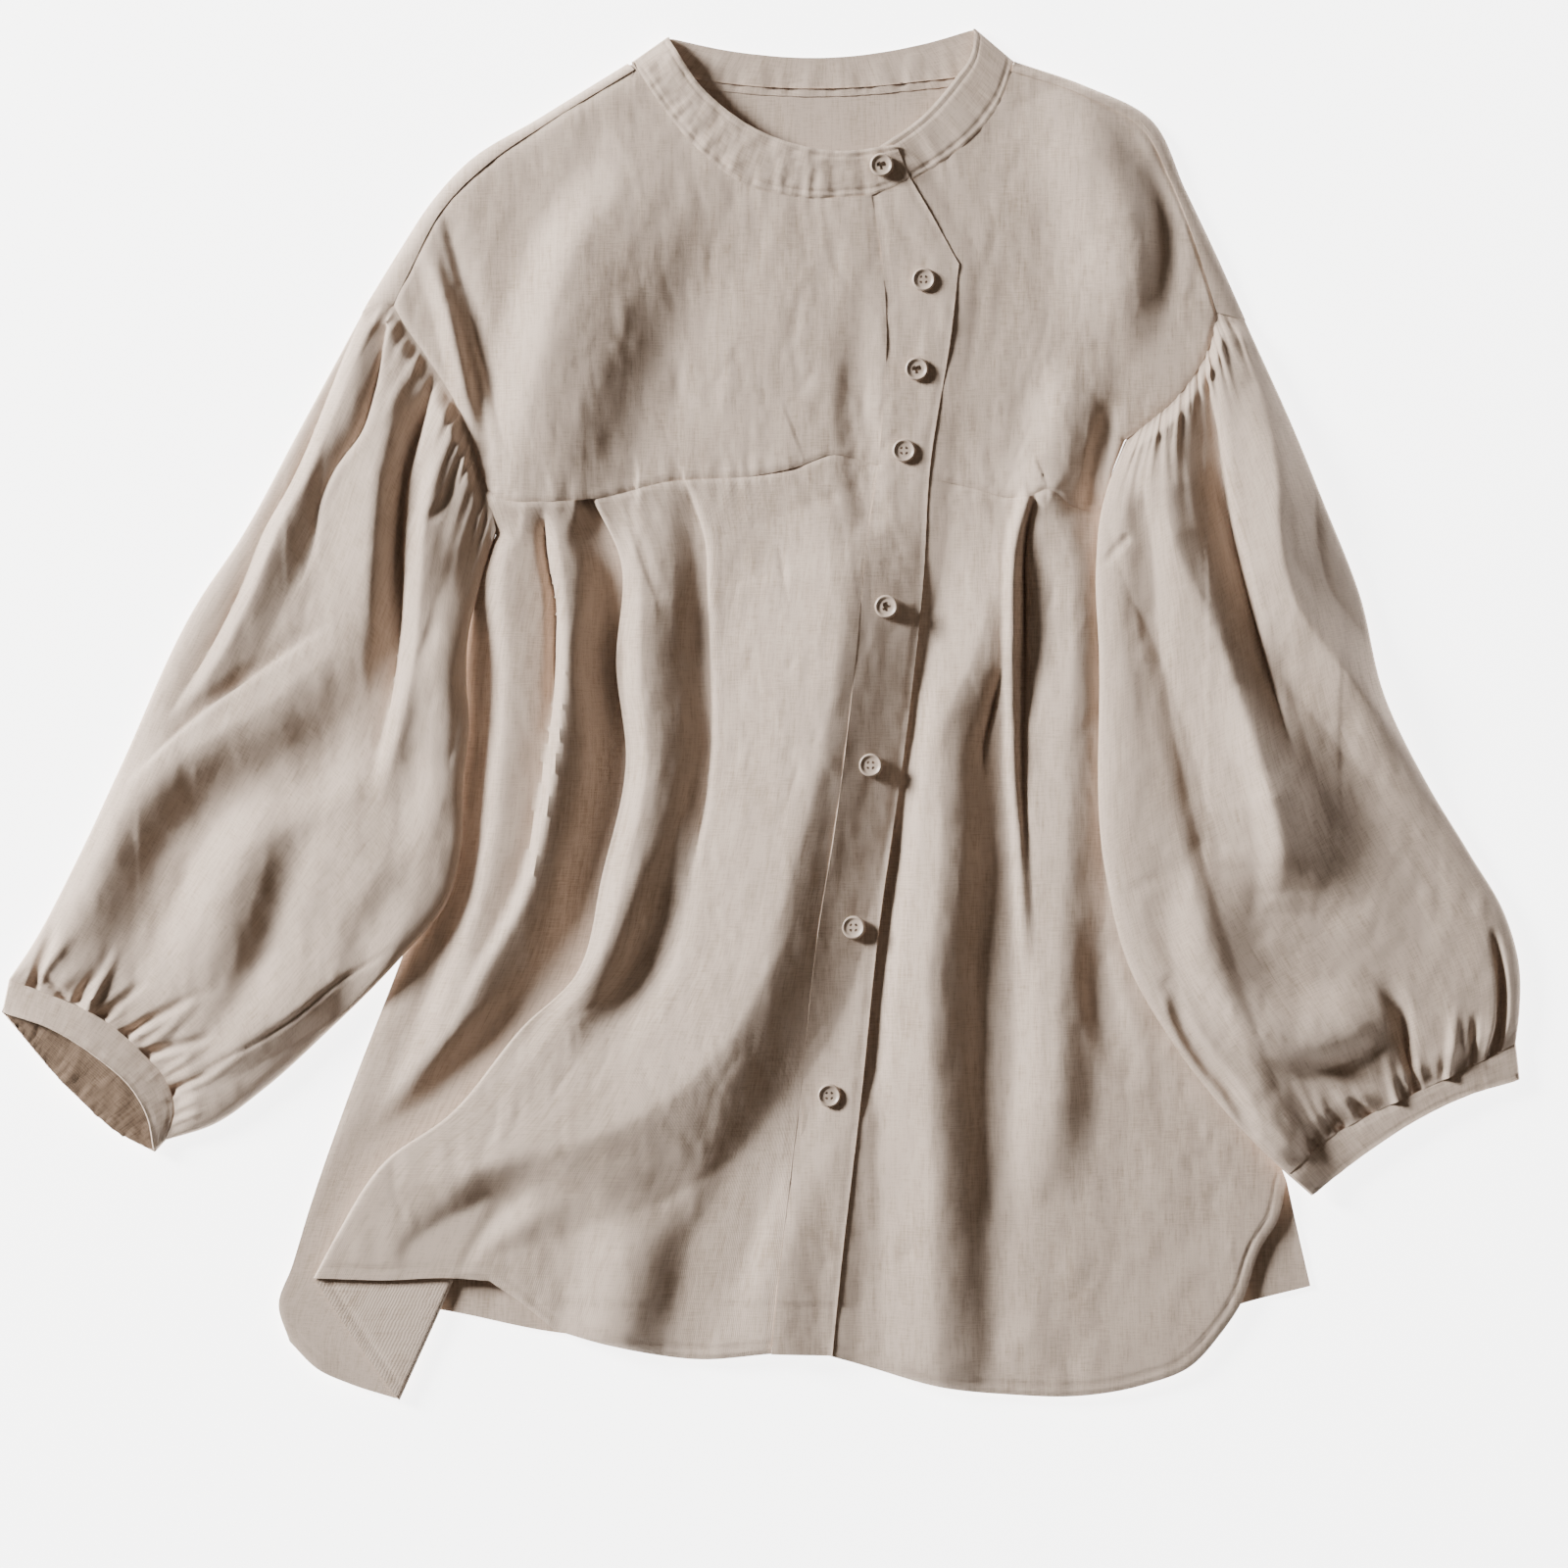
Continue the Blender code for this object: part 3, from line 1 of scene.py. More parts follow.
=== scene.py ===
"""A linen shirt with a band collar and lantern sleeves, laid flat on its back.

Plan sizes are millimetres on an 800 mm square board: "across" runs to the right and "down"
towards the hem. Heights are millimetres above the board. Right and left are the wearer's.
"""
import json
import math
from collections import namedtuple

import bmesh
import bpy
import numpy as np
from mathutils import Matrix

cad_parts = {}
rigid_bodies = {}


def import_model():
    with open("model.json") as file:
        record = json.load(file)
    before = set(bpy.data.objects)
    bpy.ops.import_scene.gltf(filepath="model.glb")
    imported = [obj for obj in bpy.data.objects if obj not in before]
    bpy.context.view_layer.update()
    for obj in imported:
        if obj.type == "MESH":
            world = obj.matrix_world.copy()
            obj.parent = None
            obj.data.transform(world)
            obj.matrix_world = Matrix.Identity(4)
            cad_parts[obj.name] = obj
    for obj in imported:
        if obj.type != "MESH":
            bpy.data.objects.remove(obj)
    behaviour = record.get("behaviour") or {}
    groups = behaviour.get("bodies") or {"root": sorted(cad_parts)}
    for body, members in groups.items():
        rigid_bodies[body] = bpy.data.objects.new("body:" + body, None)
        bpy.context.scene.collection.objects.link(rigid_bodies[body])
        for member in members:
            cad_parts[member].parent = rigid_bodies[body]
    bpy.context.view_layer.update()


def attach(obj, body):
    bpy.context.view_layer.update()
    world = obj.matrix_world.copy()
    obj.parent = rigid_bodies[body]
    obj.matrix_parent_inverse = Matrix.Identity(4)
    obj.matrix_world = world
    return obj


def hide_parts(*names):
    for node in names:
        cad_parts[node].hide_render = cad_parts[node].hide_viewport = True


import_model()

MM = 0.001
ORIGIN_ACROSS = 388.45
ORIGIN_DOWN = 364.45

# ---------------------------------------------------------------- driving sizes
SOLID_WALL = 1.5          # the solids' wall, about whose middle the heights are given
CLOTH = 0.8               # the cloth's own thickness
BOARD_GAP = 0.02          # no cloth lies lower than this
BACK_LEVEL = 0.75
REST_LEVEL = 3.4
ROLL_LEVEL = 3.0          # middle of a roll that lies on the board
ARMHOLE_LEVEL = 5.2
RIGHT_FRONT_LEVEL = 8.2
RIGHT_FRONT_LOWEST = 5.3
LEFT_FRONT_LEVEL = 6.2
SIDE_LEVEL = REST_LEVEL + 2.0
RUMPLE = 0.52             # height of the low waves of the body
POINTS_PER_CREASE = 230   # points of a panel to each of its small creases
SLEEVE_LEVEL = 11.0
SLEEVE_LOWEST = 4.6
SLEEVE_LIFT = 8.5         # how far a sleeve rises where it lies on the body
SLEEVE_ROLL = 20.0
CAP_REACH = 12.0
CAP_TUCK = 2.0            # how far a sleeve reaches under the body's edge
CAP_WIDTH = 130.0         # the width that gathers are counted over
CUFF_REACH = 14.0
TUBE_BOTTOM = 0.12        # underside of a sleeve or cuff above the board
TUBE_LOWEST_TOP = 2.6
TUBE_EDGE = 1.0           # how far a tube's sides lie in from its outline, before the roll
TUBE_RISE = 1.4
SEWN_OPENING = 2.2
OPEN_MOUTH = 7.0
MOUTH_LIP = 4.0           # rise of the lower side of the open cuff's mouth
PLACKET_CLOTH = 1.0       # double cloth
BACK_CLOTH = 1.3
BAND_CLOTH = 1.3
CUFF_CLOTH = 1.5
PLEAT_TURN = 2.0          # radius of a pressed fold in plan
PLEAT_COVER = 12.0        # the main skirt is held up this far in from the pleat's inner fold
PLEAT_CLEAR = 2.3         # how far it stays above the pleat folded under it
LAYER_STEP = 2.1
FLAT_BY_PLEAT = 3.0       # the side part is pressed flat this far out from the pleat
FLAT_BY_FLAP = 8.0        # and this much further where the pleat opens out
FLAP_START = 500.0        # down; the pleat begins to open out here
FLAP_RUN = 50.0
SEAM_BLEND = 22.0         # the side part takes the front's height this near the yoke seam
UNDERLAP_WIDTH = 24.0
UNDERLAP_HOLD = 4.5       # the left front follows the button stand this far out from its edge
UNDERLAP_BLEND = 14.0     # and comes to its own height over this
PLACKET_RISE = 2.2
BAND_STAND = 2.6
BACK_TUCK = 4.0           # how far the back reaches under the band
BAND_STITCH = 0.7         # depths of the grooves that stitching draws
PLACKET_STITCH = 0.35
HEM_STITCH = 0.7
HEM_WIDTH = 5.5           # from a hem's edge to its stitches

# ---------------------------------------------------------------- outlines (across, down)
SHOULDER_RIGHT = [(320.5, 33.3), (275.5, 61), (238.5, 84), (222, 102), (204, 129), (186.5, 157.5)]
SHOULDER_LEFT = [(519.7, 33), (553, 44.5), (587.5, 62.5), (604, 97), (622, 135), (635, 164)]
FORWARD_SEAM_RIGHT = [(324, 36.5), (277.5, 65), (252.5, 82), (227.5, 106), (209, 140), (201, 156)]
FORWARD_SEAM_LEFT = [(516, 37), (551, 49), (583, 67), (597, 93), (609.5, 125), (620.5, 160)]

ARMHOLE_RIGHT = [(201, 156), (207.5, 167.5), (217, 181), (235.5, 211.5), (243, 232), (247.5, 250)]
UNDERARM_RIGHT = [(247.5, 250), (250.5, 260), (253.5, 272.5)]
ARMHOLE_LEFT = [(620.5, 162), (615.5, 179.5), (603.5, 199), (583.5, 217.5), (573.5, 225)]
UNDERARM_LEFT = [(573.5, 225), (567, 242), (562.5, 262)]

NECK_SEAM_RIGHT = [(322.5, 32), (338, 55.5), (357.5, 78.5), (378, 94), (410, 101.5), (444.5, 100.5)]
BAND_TOP_RIGHT = [(340.5, 19.5), (359, 46.5), (386, 67), (427.5, 78), (457, 75)]
BAND_END_SEAM = [(444.5, 100.5), (457, 96), (464, 91.5)]
NECK_SEAM_LEFT = [(517.5, 32), (510, 52.5), (498, 69), (485, 80), (461, 95.5)]
BAND_TOP_LEFT = [(497.5, 15), (495.5, 27.5), (485, 43.5), (471.5, 59), (447, 77)]
BAND_TOP_BACK = [(340.5, 19.5), (371.5, 26), (424.5, 29.5), (475.5, 21.5), (497.5, 15)]
NECK_SEAM_BACK = [(322.5, 32), (341, 41.5), (361.5, 45.5), (415, 49.5), (467.5, 46), (499, 41), (517.5, 32)]

YOKE_SEAM_RIGHT = [(247.5, 250), (259, 256), (277, 256.5), (302.5, 255), (342, 246), (382.5, 243.5),
    (406, 239), (425, 232.5), (448, 238)]
YOKE_SEAM_LEFT = [(470, 243), (490.5, 248), (526, 253.5), (533, 250.5), (547.5, 259), (562.5, 262)]

PLACKET_SEAM_YOKE = [(444.5, 100.5), (448.5, 122.5), (452, 160), (450, 216), (448, 238)]
PLACKET_SEAM_SKIRT = [(448, 238), (442, 280), (436, 340), (425, 428), (418, 471), (407.5, 566),
    (398.5, 642), (393.5, 690)]
PLACKET_CORNER = [(464, 91.5), (474.5, 109.5), (489, 135.5)]
PLACKET_EDGE = [(489, 135.5), (485.5, 167.5), (474, 241.5), (471, 293.5), (461.5, 380.5), (448.5, 471.5),
    (438.5, 566), (429.5, 642), (424.5, 691)]
PLACKET_HEM = [(393.5, 690), (409, 690.5), (424.5, 691)]
UNDERLAP_TOP = [(461, 95.5), (470, 111), (484.5, 136.5)]
UNDERLAP_YOKE = [(484.5, 136.5), (481, 167.5), (470, 243)]
UNDERLAP_SKIRT = [(470, 243), (466.5, 293.5), (457, 380.5), (444, 471.5), (434, 566), (425, 642),
    (420, 690)]

SIDE_RIGHT = [(253.5, 272.5), (241.5, 310), (236, 338.5), (233, 380), (225, 433), (205.5, 488),
    (178.5, 558), (158, 617), (149, 646.5), (142.5, 665), (148, 684)]
SIDE_LEFT = [(562.5, 262), (570, 290), (579, 340), (593, 410), (614, 490), (640, 560), (656, 602)]
PLEAT_EDGE = [(302.5, 255), (316.5, 285), (314.5, 340), (319.5, 388.5), (307.5, 446), (293.5, 498),
    (268, 522.5), (229.5, 568.5), (196.5, 592.5), (172, 630), (160.5, 651.5)]
PLEAT_INNER = [(308.5, 254.5), (322.5, 285), (325, 340), (330, 388.5), (325, 446), (316, 498), (300, 530),
    (268, 585), (244, 622), (228, 659), (203.5, 713.5)]
HEM_MAIN = [(160.5, 651.5), (195, 652.5), (231, 651.5), (250, 653)]
HEM_MAIN_RISE = [(250, 653), (266, 664), (283, 678)]
HEM_MAIN_LOW = [(283, 678), (312.5, 686), (357, 693), (393.5, 690)]
HEM_FLAP = [(160.5, 651.5), (180, 681), (203.5, 713.5)]
HEM_SIDE = [(203.5, 713.5), (178.5, 705.5), (163, 698.5), (148, 684)]
HEM_LEFT = [(420, 690), (443.5, 697), (481.5, 707.5), (515, 711), (553, 711.5), (583.5, 706), (606.5, 697),
    (622, 680.5), (632.5, 665), (642.5, 637), (651.5, 622), (656, 602)]
BACK_SIDE_RIGHT = [(253, 273), (241, 310), (237, 345), (236, 380), (226, 433), (206, 488), (179, 558),
    (158.5, 617), (150, 645)]
BACK_HEM = [(150, 645), (172, 662), (224.5, 668), (283, 679.5), (350, 684), (450, 688), (560, 684),
    (612, 672), (635, 664.5), (668.5, 656)]
BACK_VENT_LEFT = [(656.5, 603), (662, 628), (668.5, 656)]

SLEEVE_CAP_RIGHT = [(186.5, 157.5), (201, 156)]
SLEEVE_CAP_LEFT = [(635, 164), (620.5, 162)]
SLEEVE_OUTER_RIGHT = [(186.5, 157.5), (153, 219.5), (122.5, 275.5), (102, 306), (61, 393), (38.5, 441),
    (15.5, 484), (5, 499.5)]
SLEEVE_INNER_RIGHT = [(253, 273), (245, 300), (239.5, 325), (238.5, 345), (240, 370), (237, 400),
    (236, 433), (229.5, 458.5), (205.5, 488), (166, 527.5), (135, 555.5), (109.5, 573.5), (85, 581.5)]
CUFF_SEAM_RIGHT = [(5, 499.5), (25.5, 507), (51, 518.5), (71.5, 535), (86, 552.5), (89.5, 567), (85, 581.5)]
SLEEVE_OUTER_LEFT = [(635, 164), (660, 219.5), (675.5, 257.5), (693.5, 303.5), (706, 354.5), (728, 400),
    (749.5, 435.5), (767.5, 466.5), (775, 494.5), (775, 515), (773, 532)]
SLEEVE_INNER_LEFT = [(573.5, 226), (566, 245), (562, 258), (558.5, 291), (560, 331.5), (563.5, 446),
    (576, 494.5), (591.5, 522.5), (617, 558), (642.5, 586), (656, 598.5)]
CUFF_SEAM_LEFT = [(773, 532), (760.5, 538.5), (722, 557), (699, 568), (679.5, 579), (656, 598.5)]

CUFF_EDGE_RIGHT = [(1.5, 516), (25.5, 523.5), (51, 539), (69, 555.5), (76.5, 570), (79.5, 587.5)]
CUFF_UNDER_RIGHT = [(1.5, 516), (38.5, 558), (62.5, 578.5), (79.5, 587.5)]
CUFF_EDGE_LEFT = [(775, 550.5), (748.5, 558.5), (724, 570), (699, 586), (668.5, 609.5)]

# ---------------------------------------------------------------- folds
# course: plan points; rise: height at even steps along it; left and right: spread on each side
# of a course that runs down, with the form of each flank
Fold = namedtuple("Fold", "name course rise left right left_form right_form", defaults=("soft", "soft"))
# a sharp crease: the cloth comes down to it over its left side and rises from it, steeply, over
# its right side, whose lip hangs over it by lean
Crease = namedtuple("Crease", "name course depth left right lean")
Edge = namedtuple("Edge", "course level reach hold")

FULLNESS = 1.25           # how much fuller the folds stand than in the table

RIGHT_FRONT_FOLDS = [
    Fold("armhole ridge", [(217, 122), (229, 160), (238, 200), (245, 235)], (0, 5, 5, 0), 9, 7),
    Fold("yoke crest", [(340, 72), (320, 100), (297, 130), (284, 165), (275, 204), (268, 252)],
        (0, 5, 9, 10.5, 9, 5), 30, 74),
    Fold("neck valley", [(385, 98), (350, 158), (330, 204), (310, 252)], (0, -2, -3, -1), 30, 40),
    Fold("placket hollow", [(437, 150), (437, 205), (443, 262)], (0, -3, -2), 14, 14),
    Fold("deep pleat ridge", [(326, 262), (328, 300), (328, 345), (331, 392), (320, 446), (303, 500),
        (278, 532)], (2, 8, 9, 9, 8, 5, 0), 14, 34),
    Fold("strip crease", [(321, 260), (325, 275), (330, 290), (336, 305), (338, 325)],
        (-0.5, -0.8, -0.8, -0.4, 0), 3, 7),
    Fold("wide ridge", [(418, 256), (430, 290), (429, 325), (423, 360), (418, 390), (410, 420), (402, 450),
        (394, 487), (376, 523), (348, 555), (308, 577), (262, 591), (225, 600), (203, 604)],
        (2, 9, 12, 12.5, 12.5, 12.5, 12, 11, 10.5, 10, 9, 7, 3), 60, 44, "straight", "straight"),
    Fold("placket valley", [(440, 400), (430, 450), (414, 515), (396, 570), (380, 610), (362, 645),
        (344, 690)], (0, -1, -2, -3, -4, -4, -3), 30, 34),
    Fold("band by the pleat", [(333, 425), (306, 488), (262, 560)], (0, 4, 0), 12, 18),
    Fold("brown hollow", [(345, 430), (328, 490), (300, 545)], (0, -5, 0), 16, 22),
    Fold("lower ridge", [(318, 590), (320, 640), (313, 692)], (0, 5, 4), 32, 34),
    Fold("lower hollow", [(290, 596), (250, 616), (222, 640)], (0, -6, -4), 22, 18),
    Fold("low right ridge", [(408, 590), (400, 640), (396, 692)], (0, 2.5, 2), 26, 24),
]
RIGHT_FRONT_CREASES = [
    Crease("armhole drop", [(226, 106), (236, 145), (242, 166), (251, 200), (258, 228)],
        (1, 4, 4, 3, 1), 5, 14, 0),
    Crease("second pleat", [(351, 249), (355, 260), (360, 277), (361, 300), (362, 325), (363, 350),
        (363, 376), (361, 402), (352, 450)], (2, 7, 7, 6.5, 6, 5, 4, 3, 0), 18, 5, 2),
    Crease("ridge crease", [(397, 276), (400, 294), (402, 309)], (0, 1.2, 0), 4, 5, 0),
]
SIDE_FOLDS = [
    Fold("side ridge", [(260, 254), (259, 290), (261, 340), (258, 385), (250, 450), (226, 520), (186, 610)],
        (4, 6, 7, 7, 5, 3, 0), 15, 40),
    Fold("first pleat ridge", [(283, 256), (286, 280), (289, 303), (290, 330), (289, 350), (286, 380),
        (281, 410), (272, 450), (246, 500), (222, 545)], (3, 9, 11, 12, 12, 10, 8, 5, 2, 0), 7, 32),
    Fold("lower side ridge", [(254, 465), (230, 525), (204, 575), (178, 635)], (0, 2, 2, 0), 16, 22),
]
SIDE_CREASES = [
    Crease("first pleat", [(278, 260), (279, 275), (281, 290), (284, 305), (284, 330), (283, 355),
        (280, 380)], (2, 6, 6, 5, 4, 2, 0), 7, 4, 2),
]
LEFT_FRONT_FOLDS = [
    Fold("shoulder ridge", [(540, 44), (558, 80), (573, 113), (574, 150), (566, 185)],
        (0, 6, 8, 6, 0), 40, 24),
    Fold("armhole valley", [(592, 75), (595, 120), (593, 165)], (0, -2.5, 0), 14, 12),
    Fold("chest ridge", [(556, 178), (545, 210), (534, 243)], (0, 5, 5), 26, 26),
    Fold("chest hollow", [(566, 200), (562, 228), (557, 255)], (0, -3, -3), 9, 9),
    Fold("placket ridge", [(513, 262), (505, 310), (495, 340), (483, 365), (480, 400), (480, 435),
        (478, 465), (474, 495), (475, 560), (477, 640), (477, 692)],
        (1, 6, 8, 9, 9.5, 10, 10, 9, 8, 7, 5), 28, 32, "straight"),
    Fold("centre valley", [(508, 365), (508, 420), (506, 470), (508, 520), (508, 580), (508, 640),
        (508, 697)], (0, -2, -3, -4, -3, -2, -1), 18, 24),
    Fold("pleat ridge", [(523, 256), (518, 274), (516, 297), (516, 320), (516, 345), (517, 400), (519, 425),
        (521, 465), (523, 492)], (3, 5, 5.5, 5, 5, 4, 3.5, 3, 0), 6, 6),
    Fold("pleat plateau", [(537, 259), (546, 285), (548, 320), (546, 370), (545, 420), (541, 470),
        (538, 550), (534, 612)], (4, 6, 6, 5, 4.5, 5, 6, 0), 26, 24, "straight"),
    Fold("lower hollow", [(556, 468), (565, 520), (579, 556)], (0, -4, 0), 14, 14),
]
LEFT_FRONT_CREASES = [
    Crease("pleat slit", [(527, 256), (525, 265), (523, 285), (523, 305), (523, 335), (522, 400),
        (523, 450)], (2, 6, 6, 4, 3, 2, 0), 3, 4, 1.5),
    Crease("wedge", [(511, 340), (507, 360), (502, 382), (501, 398)], (0, 5, 4, 0), 7, 4, 1),
]
SLEEVE_FOLDS_RIGHT = [
    Fold("first ridge", [(190, 168), (183, 184), (175, 204), (156, 249), (143, 273), (131, 303), (116, 333),
        (90, 372)], (2, 4, 5, 5, 5, 4, 3, 0), 7, 16, "soft", "straight"),
    Fold("broad ridge", [(206, 185), (200, 215), (194, 250), (190, 290), (184, 330), (176, 350)],
        (0, 5, 8, 8, 5, 0), 30, 16, "straight"),
    Fold("inner ridge", [(232, 200), (223, 243), (218, 273), (216, 302), (214, 332), (208, 362),
        (196, 410)], (2, 6, 7, 7, 8, 7, 0), 10, 28, "soft", "straight"),
    Fold("inner crease", [(237, 227), (228, 256), (214, 272)], (0, -2, 0), 4, 5),
    Fold("lower crease", [(226, 298), (220, 325), (211, 347)], (0, -1, 0), 4, 7),
    Fold("elbow ridge", [(184, 322), (152, 350), (129, 366), (104, 382), (86, 396), (62, 416)],
        (0, 4, 4.5, 4.5, 3, 0), 20, 34, "straight"),
    Fold("outer ridge", [(92, 372), (66, 412), (50, 446), (36, 474), (26, 496)], (0, 3, 4, 3, 1), 16, 34),
    Fold("elbow valley", [(192, 352), (160, 392), (116, 412), (95, 434), (84, 458), (72, 484), (58, 506)],
        (0, -4, -6, -7, -7, -5, -1), 38, 26),
    Fold("lantern ridge", [(142, 398), (126, 438), (113, 472), (101, 500)],
        (2, 5, 6, 5, 2), 30, 30, "straight"),
    Fold("lantern valley", [(162, 410), (145, 450), (132, 490), (120, 514), (106, 530)],
        (0, -1.5, -2, -2, -1), 12, 18),
    Fold("elbow plane", [(212, 392), (196, 440), (160, 492)], (0, 8, 0), 60, 24, "straight"),
    Fold("underside edge", [(204, 478), (175, 497), (150, 516), (122, 533), (96, 546)],
        (0, 3, 5, 4, 0), 34, 14, "soft", "straight"),
]
SLEEVE_CREASES_RIGHT = [
    Crease("first edge", [(185, 162), (177, 180), (169, 200), (149, 247), (136, 270), (124, 300),
        (109, 330), (84, 370)], (3, 4, 4, 4, 3, 3, 2, 0), 12, 5, 1.5),
    Crease("second edge", [(198, 168), (192, 200), (186, 220), (172, 240), (165, 255), (160, 280),
        (152, 302)], (4, 5, 5, 4, 3, 2, 0), 12, 5, 1.5),
    Crease("deep valley", [(221, 198), (214, 225), (208, 250), (206, 275), (206, 300), (204, 330),
        (200, 360), (190, 400)], (4, 8, 9, 9, 7, 5, 3, 0), 18, 6, 2.5),
    Crease("diagonal step", [(172, 316), (135, 342), (125, 349), (100, 367), (82, 383), (64, 401)],
        (0, 2, 3, 3, 2, 0), 10, 5, 1.5),
    Crease("underside crease", [(208, 481), (175, 500), (150, 520), (122, 537), (96, 550)],
        (0, 1, 1.5, 1, 0), 4, 3, 0),
]
SLEEVE_FOLDS_LEFT = [
    Fold("side crease", [(563, 287), (573, 276)], (-1, -1.5), 4, 4),
    Fold("side valley", [(582, 235), (583, 300), (586, 350), (592, 402)], (-1, -2, -2, 0), 14, 16),
    Fold("inner ridge", [(587, 226), (591, 247), (595, 267), (601, 287), (610, 305), (620, 327), (628, 350),
        (638, 382), (645, 408), (650, 430), (652, 455)],
        (3, 8, 10, 10, 10, 10, 10, 10, 9, 6, 0), 30, 27, "straight", "straight"),
    Fold("bowl wall", [(630, 350), (640, 380), (650, 412), (654, 436), (652, 466)],
        (0, 5, 8, 6, 0), 16, 46),
    Fold("bowl ring", [(616, 430), (612, 455), (613, 480), (621, 502), (636, 520), (658, 531), (684, 527),
        (708, 510)], (0, 3, 5, 6, 8, 9, 9, 7, 0), 20, 32),
    Fold("light band", [(640, 196), (647, 222), (650, 248), (651, 272), (655, 296), (661, 312), (674, 330),
        (700, 362), (745, 415)], (2, 7, 9, 10, 10, 9, 7, 3, 0), 26, 20, "straight", "straight"),
    Fold("corner groove", [(595, 502), (603, 525), (613, 541), (626, 556), (636, 576)],
        (-1, -4, -5, -4, -2), 6, 8),
    Fold("lower hollow", [(664, 538), (688, 549), (710, 558)], (0, -3, -1), 7, 8),
    Fold("outer hollow", [(704, 495), (712, 515), (716, 540)], (0, -3, -2), 9, 9),
]
SLEEVE_CREASES_LEFT = [
    Crease("deep valley", [(616, 196), (621, 222), (624, 247), (627, 265), (633, 292), (640, 320),
        (647, 346), (660, 392)], (4, 8, 9, 9, 9, 8, 5, 0), 20, 7, 2),
]
# short folds by the cuffs: where each begins at the seam and where it dies out
CUFF_GATHERS_RIGHT = [
    ([(36, 512), (22, 495)], (-4, 0), 3, 4), ([(38, 513), (51, 494)], (-4, 0), 4, 4),
    ([(52, 519), (77, 499)], (-4, 0), 4, 5), ([(64, 528), (108, 504)], (-4, 0), 4, 5),
    ([(74, 538), (112, 528)], (-4, 0), 4, 5), ([(87, 557), (112, 546)], (-3, 0), 4, 4),
    ([(18, 503), (30, 470)], (-4, 0), 4, 5), ([(46, 515), (62, 482)], (3, 0), 4, 4),
]
CUFF_GATHERS_LEFT = [
    ([(761, 538), (765, 520), (765, 500), (760, 472)], (-6, -6, -5, 0), 4, 4),
    ([(750, 543), (752, 515)], (-5, 0), 3, 4), ([(738, 549), (742, 510)], (3, 0), 4, 4),
    ([(722, 557), (717, 535), (714, 512)], (-5, -4, 0), 4, 4), ([(712, 562), (705, 535)], (3, 0), 4, 4),
    ([(699, 569), (686, 560)], (-4, 0), 4, 4), ([(684, 576), (674, 560)], (-4, 0), 4, 4),
    ([(670, 586), (658, 568)], (-4, 0), 4, 4),
]

BUTTONS = [(449.5, 85.5), (471, 143.5), (467.5, 189), (461, 230.5), (452, 310), (444, 390.5), (435.5, 473),
    (423, 558.5)]
CUFF_FOLDS_RIGHT, CUFF_FOLDS_LEFT = (
    [Fold("gather", *row) for row in rows] for rows in (CUFF_GATHERS_RIGHT, CUFF_GATHERS_LEFT))

# how far the left front lies below the placket: (down, step)
OVERLAP_STEP = [
    (0, 0.5), (240, 0.5), (300, 0.9), (350, 0.9), (400, 0.8), (435, 4.5), (545, 4.5), (572, 0.6), (700, 0.6)]


# ---------------------------------------------------------------- curves and sheets of points
CURVE_STEPS = 24
COURSE_STEPS = 8
SNAP_STEPS = 400


def smooth(points, steps=CURVE_STEPS):
    """A smooth curve through the points, finely sampled."""
    knots = np.array(points, float)
    if len(knots) < 3:
        return knots
    spans = np.linalg.norm(np.diff(knots, axis=0), axis=1)
    slopes = np.diff(knots, axis=0) / spans[:, None]
    weights = spans[:-1, None] + spans[1:, None]
    inner = (slopes[:-1] * spans[1:, None] + slopes[1:] * spans[:-1, None]) / weights
    tangents = np.vstack([slopes[:1], inner, slopes[-1:]])
    t = np.linspace(0, 1, steps, endpoint=False)[:, None]
    pieces = []
    for i, span in enumerate(spans):
        pieces.append((2 * t**3 - 3 * t**2 + 1) * knots[i] + (t**3 - 2 * t**2 + t) * tangents[i] * span
                      + (3 * t**2 - 2 * t**3) * knots[i + 1] + (t**3 - t**2) * tangents[i + 1] * span)
    return np.vstack(pieces + [knots[-1:]])


def passed_along(curve):
    """The length of a curve up to each of its points."""
    return np.concatenate([[0], np.cumsum(np.linalg.norm(np.diff(curve, axis=0), axis=1))])


def spaced(curve, shares):
    """Points at the given shares of a curve's length."""
    lengths = passed_along(curve)
    return np.stack([np.interp(shares * lengths[-1], lengths, values) for values in curve.T], axis=1)


def even(points, count):
    return spaced(smooth(points), np.linspace(0, 1, count))


def run(pieces, counts):
    """Even points along several curves in a row, keeping the corner between each two."""
    parts = [even(piece, count + 1)[:-1] for piece, count in zip(pieces, counts)]
    return np.vstack(parts + [np.array(pieces[-1][-1:], float)])


def backwards(points):
    return points[::-1]


def joined(*lines):
    """One line of points out of several that meet at their ends."""
    return lines[0] + [point for line in lines[1:] for point in line[1:]]


def unit(vectors, least=1e-6):
    return vectors / np.maximum(np.linalg.norm(vectors, axis=-1, keepdims=True), least)


def fill(top, bottom, left, right, across=None):
    """A sheet of plan points between four edges; rows run across and columns run down."""
    u = (np.linspace(0, 1, len(top)) if across is None else across)[None, :, None]
    v = np.linspace(0, 1, len(left))[:, None, None]
    ruled = (1 - v) * top[None] + v * bottom[None] + (1 - u) * left[:, None] + u * right[:, None]
    corners = ((1 - u) * (1 - v) * top[0] + u * (1 - v) * top[-1]
               + (1 - u) * v * bottom[0] + u * v * bottom[-1])
    return ruled - corners


def strip_between(line, other, rows):
    shares = np.linspace(0, 1, rows)[:, None, None]
    return (1 - shares) * line[None] + shares * other[None]


